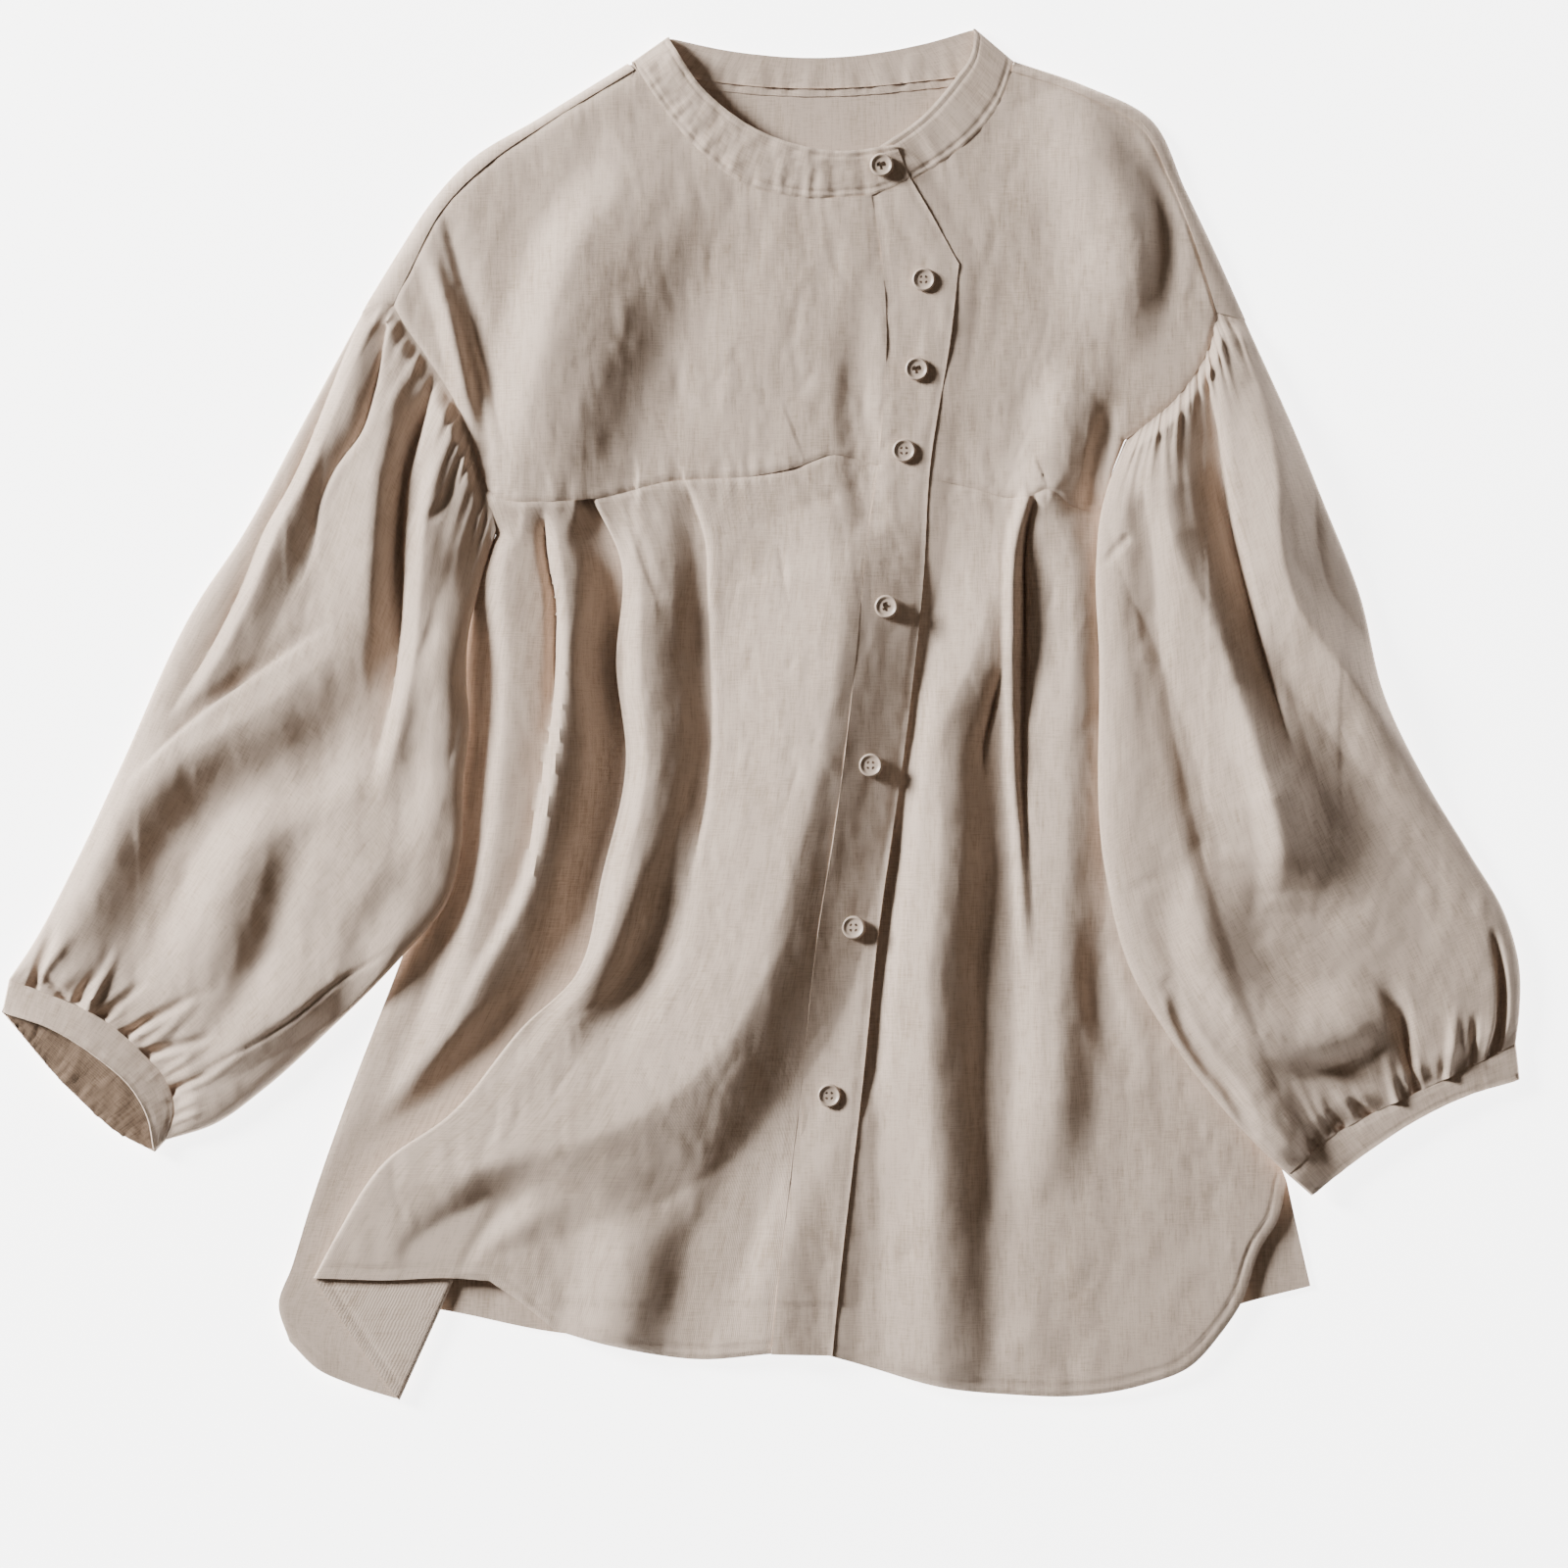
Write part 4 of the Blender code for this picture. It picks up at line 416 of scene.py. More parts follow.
def drawn_in(sheet, left=0.0, right=0.0):
    """Draw a sheet's side edges in, shared out over the columns next to them."""
    moved = sheet.copy()
    columns = sheet.shape[1]
    fade = np.clip(1 - np.arange(columns) / (0.3 * columns), 0, 1)
    for side, beside, gap, shares in ((0, 1, left, fade), (-1, -2, right, fade[::-1])):
        if gap:
            moved += unit(sheet[:, beside] - sheet[:, side])[:, None] * gap * shares[None, :, None]
    return moved


def nearest(plan, course, within=np.inf):
    """For points near a course: which they are, their signed distance, share passed and its way."""
    line = smooth(course, COURSE_STEPS)
    flat = plan.reshape(-1, 2)
    held = np.flatnonzero(((flat > line.min(0) - within) & (flat < line.max(0) + within)).all(axis=1))
    points = flat[held]
    starts, ends = line[:-1], line[1:]
    spans = np.linalg.norm(ends - starts, axis=1)
    passed = passed_along(line)
    best = np.full(len(held), np.inf)
    signed, share = np.zeros((2, len(held)))
    ways = np.zeros((len(held), 2))
    for start, end, span, before in zip(starts, ends, spans, passed):
        way = (end - start) / max(span, 1e-9)
        offset = points - start
        step = np.clip(offset @ way, 0, span)
        gap = np.linalg.norm(offset - step[:, None] * way, axis=1)
        closer = gap < best
        best = np.where(closer, gap, best)
        side = np.sign(way[1] * offset[:, 0] - way[0] * offset[:, 1])
        signed = np.where(closer, gap * side, signed)
        share = np.where(closer, (before + step) / passed[-1], share)
        ways[closer] = way
    return held, signed, share, ways


def distance(plan, course):
    return nearest(plan, course)[1].reshape(plan.shape[:-1])


def ease(share):
    share = np.clip(share, 0, 1)
    return share * share * (3 - 2 * share)


def bell(share):
    """1 at 0, falling softly to 0 at 1."""
    return 0.5 * (1 + np.cos(np.pi * np.clip(share, 0, 1)))


def rounded_off(share):
    """0 at 0, rising as a quarter circle does to 1 at 1."""
    return np.sqrt(np.clip(1 - (1 - np.clip(share, 0, 1))**2, 0, 1))


def flank(share, form):
    """The form of a fold's side, from 1 at its crest to 0 where it ends."""
    if form == "straight":
        return bell(share) * 0.15 + 0.85 * np.maximum(1.045 - np.sqrt(share**2 + 0.002), 0)
    return bell(share)


def keep_above(height, lowest, soft=1.2):
    """The larger of the two, rounded where they meet."""
    return 0.5 * (height + lowest + np.sqrt((height - lowest) ** 2 + soft**2)) - soft * 0.25


def along(share, values):
    return np.interp(share, np.linspace(0, 1, len(values)), values)


def share_out(signed, fold):
    """How far out on its side of a fold each point lies, from 0 on its course to 1."""
    return np.clip(np.abs(signed) / np.where(signed < 0, fold.left, fold.right), 0, 1)


def folded(plan, level, folds, creases):
    """Raise a height map by its soft folds, then lower it to its sharp creases."""
    flat = level.reshape(-1).copy()
    for fold in folds:
        held, signed, share, _ = nearest(plan, fold.course, max(fold.left, fold.right))
        t = share_out(signed, fold)
        form = np.where(signed < 0, flank(t, fold.left_form), flank(t, fold.right_form))
        flat[held] += FULLNESS * along(share, fold.rise) * form
    for crease in creases:
        held, signed, share, _ = nearest(plan, crease.course, max(crease.left, crease.right))
        t = share_out(signed, crease)
        flat[held] -= along(share, crease.depth) * np.where(signed < 0, (1 - t) ** 1.7, (1 - t) ** 2)
    return flat.reshape(level.shape)


def lean_over(plan, creases):
    """Plan points with the lip of each crease hung over it."""
    flat = plan.reshape(-1, 2).copy()
    for crease in creases:
        if not crease.lean:
            continue
        held, signed, share, ways = nearest(plan, crease.course, crease.right + 3)
        depth = along(share, crease.depth) / max(crease.depth)
        middle = 0.55 * crease.right
        amount = crease.lean * depth * bell(np.abs(signed - middle) / (middle + 0.8))
        flat[held] -= np.column_stack([ways[:, 1], -ways[:, 0]]) * amount[:, None]
    return flat.reshape(plan.shape)


def snapped(plan, creases):
    """Plan points moved onto the creases, so that each runs along the mesh's lines."""
    moved = plan.copy()
    for crease in creases:
        line = spaced(smooth(crease.course, COURSE_STEPS), np.linspace(0, 1, SNAP_STEPS))
        low, high = line[:, 1].min() - 20, line[:, 1].max() + 20
        for row in range(1, plan.shape[0] - 1):
            if plan[row, :, 1].max() < low or plan[row, :, 1].min() > high:
                continue
            gaps = np.linalg.norm(moved[row, 2:-2, None] - line[None], axis=2)
            column, place = np.unravel_index(np.argmin(gaps), gaps.shape)
            column += 2
            pitch = np.linalg.norm(plan[row, column + 1] - plan[row, column - 1]) / 2
            if 0 < place < len(line) - 1 and gaps[column - 2, place] < 0.6 * pitch:
                shift = line[place] - moved[row, column]
                moved[row, column] += shift
                moved[row, column - 1] += shift * 0.4
                moved[row, column + 1] += shift * 0.4
    return moved


# ---------------------------------------------------------------- small creases
def lattice_noise(across, down, seed):
    """Smooth noise of about -1 to 1; its lattice is one unit wide."""
    rng = np.random.default_rng(seed)
    left, top = np.floor(across.min()) - 1, np.floor(down.min()) - 1
    wide = int(across.max() - left) + 3
    tall = int(down.max() - top) + 3
    values = rng.uniform(-1, 1, (tall, wide))
    x, y = across - left, down - top
    column, row = x.astype(int), y.astype(int)
    fx, fy = ease(x - column), ease(y - row)
    above = values[row, column] * (1 - fx) + values[row, column + 1] * fx
    below = values[row + 1, column] * (1 - fx) + values[row + 1, column + 1] * fx
    return above * (1 - fy) + below * fy


def rumple(plan, amount, seed, across=22.0, down=40.0):
    """Low uneven waves, longer down the grain."""
    x, y = plan[..., 0], plan[..., 1]
    bent = x + 7 * lattice_noise(x / 50, y / 50, seed + 9)
    sagged = y + 7 * lattice_noise(x / 45, y / 45, seed + 8)
    return amount * (lattice_noise(bent / across, sagged / down, seed)
                     + 0.5 * lattice_noise(bent / (0.38 * across), sagged / (0.4 * down), seed + 1)
                     + 0.3 * lattice_noise(bent / (0.17 * across), sagged / (0.22 * down), seed + 2))


def scatter_creases(plan, count, seed, slant=0.0, spread=0.35, long=(15, 45), depth=(0.1, 0.4),
                    width=(2.5, 6.0)):
    """Short straight creases and ridges, mostly along the grain."""
    rng = np.random.default_rng(seed)
    flat = plan.reshape(-1, 2)
    height = np.zeros(len(flat))
    for _ in range(count):
        middle = flat[rng.integers(len(flat))]
        angle = slant + rng.normal(0, spread)
        half = rng.uniform(*long) / 2
        tall = rng.uniform(*depth) * rng.choice([-1, -1, 1])
        wide = rng.uniform(*width)
        bend = rng.uniform(-0.006, 0.006)
        way = np.array([math.sin(angle), math.cos(angle)])
        held = np.flatnonzero((np.abs(flat - middle) < half + wide).all(axis=1))
        offset = flat[held] - middle
        passed = offset @ way
        aside = offset @ np.array([way[1], -way[0]]) - bend * passed**2
        height[held] += tall * bell(np.abs(aside) / wide) * bell(np.abs(passed) / half)
    return height.reshape(plan.shape[:-1])


def gathers(from_seam, along_seam, length, pitch, depth, reach, seed):
    """Uneven folds that start at a seam and die out within reach of it."""
    rng = np.random.default_rng(seed)
    height = np.zeros_like(from_seam)
    rising = ease((from_seam + 0.8) / 6)
    at = rng.uniform(0, pitch)
    while at < length:
        wide = pitch * rng.uniform(0.35, 0.75)
        tall = depth * rng.uniform(0.45, 1.1)
        end = reach * rng.uniform(0.35, 1.1)
        lean = rng.normal(0, 0.07)
        aside = along_seam - at - lean * from_seam
        fade = rising * bell(from_seam / end)
        height += tall * bell(np.abs(aside) / (wide * (1 + from_seam / (2 * reach)))) * fade
        at += pitch * rng.uniform(0.6, 1.5)
    return height - 0.35 * depth * bell(from_seam / reach) * rising


def placed(plan, held, values):
    """The values at the held points of a sheet, and 0 at the others."""
    sheet = np.zeros(plan.shape[0] * plan.shape[1])
    sheet[held] = values
    return sheet.reshape(plan.shape[:-1])


def puckers(plan, course, seed, pitch=7.0, depth=0.5, reach=9.0):
    """Small uneven ripples square to a line of stitches."""
    held, signed, share, _ = nearest(plan, course, reach)
    length = np.linalg.norm(np.diff(smooth(course), axis=0), axis=1).sum()
    ripples = gathers(np.abs(signed) + 1.0, share * length, length, pitch, depth, reach, seed)
    return placed(plan, held, ripples)


def stitched(plan, course, inset=2.0, reach=1.6):
    """The shallow groove that a line of edge stitching draws, inset from an edge."""
    held, signed, _, _ = nearest(plan, course, inset + reach)
    return placed(plan, held, -bell(np.abs(np.abs(signed) - inset) / reach))


def ditch(plan, course, depth=0.8, reach=2.3):
    """The hollow along a sewn seam."""
    held, signed, _, _ = nearest(plan, course, reach)
    return placed(plan, held, -depth * bell(np.abs(signed) / reach))


# ---------------------------------------------------------------- heights
RIGHT_EDGES = [Edge(SHOULDER_RIGHT, ROLL_LEVEL, 14, 0), Edge(ARMHOLE_RIGHT, ARMHOLE_LEVEL, 10, 0.5)]
LEFT_EDGES = [Edge(SHOULDER_LEFT, ROLL_LEVEL, 14, 0), Edge(ARMHOLE_LEFT, ARMHOLE_LEVEL, 10, 0.5),
              Edge(UNDERARM_LEFT, REST_LEVEL, 14, 0.3), Edge(SIDE_LEFT, REST_LEVEL, 30, 0),
              Edge(HEM_LEFT, REST_LEVEL, 9, 0.45)]
SIDE_EDGES = [Edge(SIDE_RIGHT, REST_LEVEL, 12, 0), Edge(UNDERARM_RIGHT, REST_LEVEL, 12, 0.2),
              Edge(HEM_SIDE, REST_LEVEL, 9, 0.4)]
MAIN_HEM = joined(HEM_MAIN, HEM_MAIN_RISE, HEM_MAIN_LOW)
UNDERLAP_EDGE = joined(UNDERLAP_TOP, UNDERLAP_YOKE, UNDERLAP_SKIRT)
PLACKET_FREE_EDGE = joined(PLACKET_CORNER, PLACKET_EDGE)
# course, seed, pitch, depth and reach of the puckers along each seam
YOKE_PUCKERS_RIGHT = (YOKE_SEAM_RIGHT, 31, 8, 0.8, 18)
RIGHT_PUCKERS = [YOKE_PUCKERS_RIGHT, (NECK_SEAM_RIGHT, 32, 6, 0.6, 12), (PLACKET_SEAM_YOKE, 33, 8, 0.5, 9)]
LEFT_PUCKERS = [(YOKE_SEAM_LEFT, 41, 7, 0.7, 16), (NECK_SEAM_LEFT, 42, 6, 0.6, 12),
                (HEM_LEFT, 43, 9, 0.6, 16)]
SIDE_PUCKERS = [YOKE_PUCKERS_RIGHT, (HEM_SIDE, 52, 8, 0.5, 12)]
RIGHT_HOLLOWS = [(YOKE_SEAM_RIGHT,), (PLACKET_SEAM_YOKE, 0.25), (FORWARD_SEAM_RIGHT,), (ARMHOLE_RIGHT,)]
LEFT_HOLLOWS = [(YOKE_SEAM_LEFT,), (FORWARD_SEAM_LEFT,), (ARMHOLE_LEFT,)]


def edge_height(plan, height, edge):
    """Bring a height map down to an edge's level, rounded over the edge's reach."""
    flat = height.reshape(-1).copy()
    held, signed, _, _ = nearest(plan, edge.course, edge.reach)
    roll = rounded_off(np.abs(signed) / edge.reach)
    flat[held] = edge.level + (flat[held] - edge.level) * (edge.hold + (1 - edge.hold) * roll)
    return flat.reshape(height.shape)


def relief(plan, level, folds, creases, edges, lowest, extra):
    height = folded(plan, np.full(plan.shape[:-1], float(level)), folds, creases)
    height = keep_above(height, lowest) + extra
    for edge in edges:
        height = edge_height(plan, height, edge)
    return height


def sewn(plan, seed, puckered, hem=None, hollows=()):
    """A panel's small relief: rumples, puckers by its seams, a hem's stitches, seam hollows."""
    count = plan.shape[0] * plan.shape[1] // POINTS_PER_CREASE
    extra = rumple(plan, RUMPLE, seed) + scatter_creases(plan, count, seed + 5)
    for row in puckered:
        extra = extra + puckers(plan, *row)
    if hem:
        extra = extra + HEM_STITCH * stitched(plan, hem, HEM_WIDTH)
    for row in hollows:
        extra = extra + ditch(plan, *row)
    return extra


def right_front(plan, detail=True):
    extra = sewn(plan, 11, RIGHT_PUCKERS, None, RIGHT_HOLLOWS) if detail else 0
    return relief(plan, RIGHT_FRONT_LEVEL, RIGHT_FRONT_FOLDS, RIGHT_FRONT_CREASES, RIGHT_EDGES,
                  RIGHT_FRONT_LOWEST, extra)


def main_skirt(plan):
    """The right skirt's top layer, kept above the pleat that is folded under it."""
    cover = np.clip(1 - distance(plan, PLEAT_INNER) / PLEAT_COVER, 0, 1)
    lowest = RIGHT_FRONT_LOWEST + cover * (REST_LEVEL + LAYER_STEP + PLEAT_CLEAR - RIGHT_FRONT_LOWEST)
    height = keep_above(right_front(plan), lowest, 0.8)
    height = edge_height(plan, height, Edge(MAIN_HEM, REST_LEVEL, 9, 0.55))
    height += puckers(plan, MAIN_HEM, 34, 9, 0.5, 14) + HEM_STITCH * stitched(plan, MAIN_HEM, HEM_WIDTH)
    return np.maximum(height, np.where(cover > 0, lowest - 0.4, REST_LEVEL))


def overlap_level(plan):
    """Middle height of the top placket over or beside these points."""
    return np.maximum(right_front(plan, False), RIGHT_FRONT_LOWEST + PLACKET_RISE)


def underlap_level(plan):
    down, step = np.array(OVERLAP_STEP).T
    return overlap_level(plan) - np.interp(plan[..., 1], down, step)


def left_front(plan, detail=True):
    extra = sewn(plan, 21, LEFT_PUCKERS, HEM_LEFT, LEFT_HOLLOWS) if detail else 0
    height = relief(plan, LEFT_FRONT_LEVEL, LEFT_FRONT_FOLDS, LEFT_FRONT_CREASES, LEFT_EDGES,
                    REST_LEVEL + 0.4, extra)
    below = np.abs(distance(plan, UNDERLAP_EDGE))
    return height + (underlap_level(plan) - height) * ease(1 - (below - UNDERLAP_HOLD) / UNDERLAP_BLEND)


def side_part(plan):
    """The right skirt's side part, pressed flat where the pleat lies on it."""
    extra = sewn(plan, 51, SIDE_PUCKERS, HEM_SIDE)
    height = relief(plan, SIDE_LEVEL, SIDE_FOLDS, SIDE_CREASES, SIDE_EDGES, REST_LEVEL, extra)
    near_seam = ease(1 - np.abs(distance(plan, YOKE_SEAM_RIGHT)) / SEAM_BLEND)
    height = height + (right_front(plan) - height) * near_seam
    flat = FLAT_BY_PLEAT + FLAT_BY_FLAP * ease((plan[..., 1] - FLAP_START) / FLAP_RUN)
    reach = 20.0 - 14.0 * near_seam
    from_pleat = -distance(plan, joined(PLEAT_EDGE, HEM_FLAP))
    return REST_LEVEL + (height - REST_LEVEL) * ease((from_pleat - flat) / reach)


# ---------------------------------------------------------------- meshes
SHARP_RIM = math.radians(62)


def world(points):
    """Board points in metres: across goes to +X, down goes to -Y, height to +Z."""
    flat = points.reshape(-1, 3)
    return np.column_stack([(flat[:, 0] - ORIGIN_ACROSS), (ORIGIN_DOWN - flat[:, 1]), flat[:, 2]]) * MM


def normals(sheet, closed=False):
    """Unit normals of a grid of points, up where its columns run to the right."""
    wide = np.concatenate([sheet[:, -1:], sheet, sheet[:, :1]], axis=1) if closed else sheet
    normal = np.cross(np.gradient(wide, axis=1), np.gradient(wide, axis=0))
    return unit(normal[:, 1:-1] if closed else normal, 1e-9)


def cloth_grid(across, down):
    """Cloth coordinates out of the places of a sheet's columns and rows."""
    return np.stack(np.meshgrid(across, down), axis=-1)


def shell_faces(rows, columns, closed, outer):
    """The quads of a shell's outer side, of its inner side and of its rims."""
    count = rows * columns
    r, c = np.meshgrid(np.arange(rows - 1), np.arange(columns if closed else columns - 1), indexing="ij")
    n = (c + 1) % columns
    quads = np.stack([r * columns + c, (r + 1) * columns + c, (r + 1) * columns + n, r * columns + n],
                     axis=-1).reshape(-1, 4)
    if outer < 0:
        quads = quads[:, ::-1]
    faces = [quads, quads[:, ::-1] + count]
    rims = [np.arange(columns), (rows - 1) * columns + np.arange(columns)]
    if closed:
        rims = [np.append(rim, rim[0]) for rim in rims]
    else:
        rims += [np.arange(rows) * columns, np.arange(rows) * columns + columns - 1]
    for k, rim in enumerate(rims):
        a, b = rim[:-1], rim[1:]
        strip = np.stack([a, b, b + count, a + count], axis=-1)
        faces.append(strip if (k in (0, 3)) == (outer > 0) else strip[:, ::-1])
    return np.vstack(faces)


def cloth_object(piece, node_name, sheet, coordinates, thickness=CLOTH, closed=False, outer=1):
    """A thin shell on a grid of its outer points; the inner side lies a cloth's thickness in.

    The outer side is up where the columns run to the right and outer is 1.
    """
    under = sheet - normals(sheet, closed) * outer * thickness
    under[..., 2] = np.maximum(under[..., 2], BOARD_GAP)
    points = np.vstack([world(sheet), world(under)])
    faces = shell_faces(*sheet.shape[:2], closed, outer)
    mesh = bpy.data.meshes.new("cloth_" + piece)
    mesh.vertices.add(len(points))
    mesh.vertices.foreach_set("co", points.ravel())
    mesh.loops.add(faces.size)
    mesh.loops.foreach_set("vertex_index", faces.ravel())
    mesh.polygons.add(len(faces))
    mesh.polygons.foreach_set("loop_start", np.arange(len(faces)) * 4)
    mesh.polygons.foreach_set("loop_total", np.full(len(faces), 4))
    mesh.update(calc_edges=True)
    layer = mesh.uv_layers.new(name="cloth")
    flat = np.vstack([coordinates.reshape(-1, 2)] * 2) * MM
    layer.data.foreach_set("uv", flat[faces.ravel()].ravel())
    mesh.polygons.foreach_set("use_smooth", np.ones(len(faces), bool))
    mesh.set_sharp_from_angle(angle=SHARP_RIM)
    made = bpy.data.objects.new("cloth_" + piece, mesh)
    bpy.context.scene.collection.objects.link(made)
    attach(made, "root")
    if node_name:
        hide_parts(node_name)
    mesh.materials.append(linen)
    return made


def raised(plan, height):
    """Outer points of a panel, from the middle height of its solid."""
    return np.dstack([plan, height + SOLID_WALL / 2])


# ---------------------------------------------------------------- materials
def new_material(name, roughness):
    made = bpy.data.materials.new(name)
    made.use_nodes = True
    shader = made.node_tree.nodes["Principled BSDF"]
    shader.inputs["Roughness"].default_value = roughness
    return made, made.node_tree, shader


def node(tree, kind, where, feeds, **settings):
    """A shader node; feeds gives its inputs a value or the output of another node each."""
    made = tree.nodes.new("ShaderNode" + kind)
    made.location = where
    for key, value in settings.items():
        setattr(made, key, value)
    for socket, feed in feeds.items():
        if isinstance(feed, bpy.types.NodeSocket):
            tree.links.new(feed, made.inputs[socket])
        else:
            made.inputs[socket].default_value = feed
    return made


def linen_material(name, light, dark):
    """Plain-woven linen: uneven threads both ways, with slubs and a little colour change."""
    made, tree, shader = new_material(name, 0.9)
    shader.inputs["Specular IOR Level"].default_value = 0.12
    uv = node(tree, "UVMap", (-1400, 0), {}, uv_map="cloth").outputs[0]
    layers = []
    for k, scale in enumerate(((1500, 120, 1), (120, 1500, 1), (520, 40, 1), (30, 18, 1))):
        stretch = node(tree, "Mapping", (-1200, 300 - 300 * k), {0: uv, "Scale": scale})
        grain = node(tree, "TexNoise", (-1000, 300 - 300 * k),
                     {"Vector": stretch.outputs[0], "Scale": 1.0, "Detail": 2.0, "Roughness": 0.6})
        layers.append(grain.outputs["Fac"])
    threads = node(tree, "Math", (-760, 200), {0: layers[0], 1: layers[1]}, operation="ADD")
    slubs = node(tree, "Math", (-760, 0), {0: layers[2], 1: 0.9, 2: threads.outputs[0]},
                 operation="MULTIPLY_ADD")
    patches = node(tree, "Math", (-560, 0), {0: layers[3], 1: 0.6, 2: slubs.outputs[0]},
                   operation="MULTIPLY_ADD")
    spread = node(tree, "MapRange", (-400, 0),
                  {"Value": patches.outputs[0], "From Min": 1.3, "From Max": 1.85})
    mix = node(tree, "Mix", (-200, 100), {"Factor": spread.outputs[0], "A": dark, "B": light},
               data_type="RGBA")
    tree.links.new(next(s for s in mix.outputs if s.type == "RGBA"), shader.inputs["Base Color"])
    weave = []
    for k, direction in enumerate(("X", "Y")):
        wave = node(tree, "TexWave", (-760, -300 - 250 * k),
                    {"Vector": uv, "Scale": 640.0, "Distortion": 3.0, "Detail": 1.0, "Detail Scale": 0.4},
                    wave_type="BANDS", bands_direction=direction)
        weave.append(wave.outputs["Fac"])
    both = node(tree, "Math", (-560, -400), {0: weave[0], 1: weave[1]}, operation="ADD")
    rough = node(tree, "Math", (-400, -300), {0: both.outputs[0], 1: slubs.outputs[0]}, operation="ADD")
    bump = node(tree, "Bump", (-200, -300),
                {"Height": rough.outputs[0], "Strength": 0.4, "Distance": 0.00022})
    tree.links.new(bump.outputs[0], shader.inputs["Normal"])
    return made


def button_material():
    """Semi-gloss dyed resin with faint clouding."""
    made, tree, shader = new_material("button", 0.4)
    where = node(tree, "TexCoord", (-900, 0), {})
    cloud = node(tree, "TexNoise", (-700, 0),
                 {"Vector": where.outputs["Object"], "Scale": 260.0, "Detail": 3.0})
    ramp = node(tree, "ValToRGB", (-450, 0), {"Fac": cloud.outputs["Fac"]})
    for stop, place, color in zip(ramp.color_ramp.elements, (0.3, 0.7),
                                  ((0.45, 0.355, 0.285, 1), (0.57, 0.465, 0.385, 1))):
        stop.color = color
        stop.position = place
    tree.links.new(ramp.outputs["Color"], shader.inputs["Base Color"])
    return made


linen = linen_material("linen", (0.655, 0.53, 0.44, 1), (0.455, 0.35, 0.27, 1))
# A darker copy of the linen for the open cuff's inner side: painted shade inside the cuff's mouth, not a
# colour of the cloth
linen_painted_shade = linen_material("linen_painted_shade", (0.27, 0.19, 0.135, 1), (0.14, 0.095, 0.065, 1))
button_finish = button_material()


# ---------------------------------------------------------------- body
PLACKET_CLEAR = 0.1       # rise of the placket above its middle height at the inner seam
PLACKET_EDGE_RISE = 0.3   # and how much more at its free edge
UNDERLAP_INSET = 0.3
UNDERLAP_DROP = 1.6       # least depth of the button stand below the placket
STRIP_FOOT = 0.15         # levels where a shoulder strip begins and where it leaves the board
STRIP_LOW = 0.6
STRIP_UNDER = 0.4         # how far under itself it begins, as a share of its width


def make_panel(piece, plan, creases, front):
    sheet = raised(lean_over(plan, creases), front(plan))
    return cloth_object(piece, "front_" + piece, sheet, plan)


def make_yoke_right():
    top = run([backwards(FORWARD_SEAM_RIGHT), NECK_SEAM_RIGHT], [105, 95])
    rows = 92
    plan = fill(top, even(YOKE_SEAM_RIGHT, len(top)), even(ARMHOLE_RIGHT, rows),
                even(PLACKET_SEAM_YOKE, rows))
    make_panel("yoke_right", plan, RIGHT_FRONT_CREASES, right_front)


def make_yoke_left():
    top = even(FORWARD_SEAM_LEFT, 105)
    left = run([NECK_SEAM_LEFT, UNDERLAP_TOP, UNDERLAP_YOKE], [46, 28, 66])
    right = run([ARMHOLE_LEFT, UNDERARM_LEFT], [95, 45])
    plan = fill(top, even(YOKE_SEAM_LEFT, len(top)), left, right)
    make_panel("yoke_left", plan, LEFT_FRONT_CREASES, left_front)


def make_skirt_left():
    columns, rows = 110, 260
    plan = fill(even(YOKE_SEAM_LEFT, columns), even(HEM_LEFT, columns), even(UNDERLAP_SKIRT, rows),
                even(SIDE_LEFT, rows))
    make_panel("skirt_left", snapped(plan, LEFT_FRONT_CREASES), LEFT_FRONT_CREASES, left_front)


def make_placket_top():
    columns, rows = 20, 380
    left = run([PLACKET_SEAM_YOKE, PLACKET_SEAM_SKIRT], [88, rows - 89])
    right = run([PLACKET_CORNER, PLACKET_EDGE], [33, rows - 34])
    plan = fill(even(BAND_END_SEAM, columns), even(PLACKET_HEM, columns), left, right)
    share = np.linspace(0, 1, columns)[None, :]
    height = np.maximum(right_front(plan), RIGHT_FRONT_LOWEST + PLACKET_RISE * share)
    height += puckers(plan, PLACKET_FREE_EDGE, 61, 9, 0.5, 8)
    height += PLACKET_STITCH * stitched(plan, PLACKET_FREE_EDGE)
    height += PLACKET_STITCH * stitched(plan, PLACKET_SEAM_YOKE)
    sheet = raised(plan, height + PLACKET_CLEAR + PLACKET_EDGE_RISE * share)
    cloth_object("placket_top", "placket_top", sheet, plan, PLACKET_CLOTH)


def make_placket_under():
    edge = run([UNDERLAP_TOP, UNDERLAP_YOKE, UNDERLAP_SKIRT], [6, 20, 90])[4:]
    far = edge - np.array([UNDERLAP_WIDTH, 0])
    shares = np.linspace(0, 1, 6)[None, :, None]
    plan = far[:, None] * (1 - shares) + (edge - np.array([UNDERLAP_INSET, 0]))[:, None] * shares
    height = np.minimum(underlap_level(plan), overlap_level(plan) - UNDERLAP_DROP)
    cloth_object("placket_under", "placket_under", raised(plan, height), plan, PLACKET_CLOTH)


def half_turn(line, beside, high, low, steps):
    """Points round a pressed fold, from its upper layer's outer side to its lower layer's."""
    outward = unit(line - beside)
    middle, radius = (high + low) / 2, (high - low) / 2
    points = []
    for turn in np.linspace(0, math.pi, steps + 2)[1:-1]:
        plan = line + outward * PLEAT_TURN * (math.sin(turn) - 1)
        points.append(np.column_stack([plan, middle + radius * math.cos(turn)]))
    return np.stack(points, axis=1)


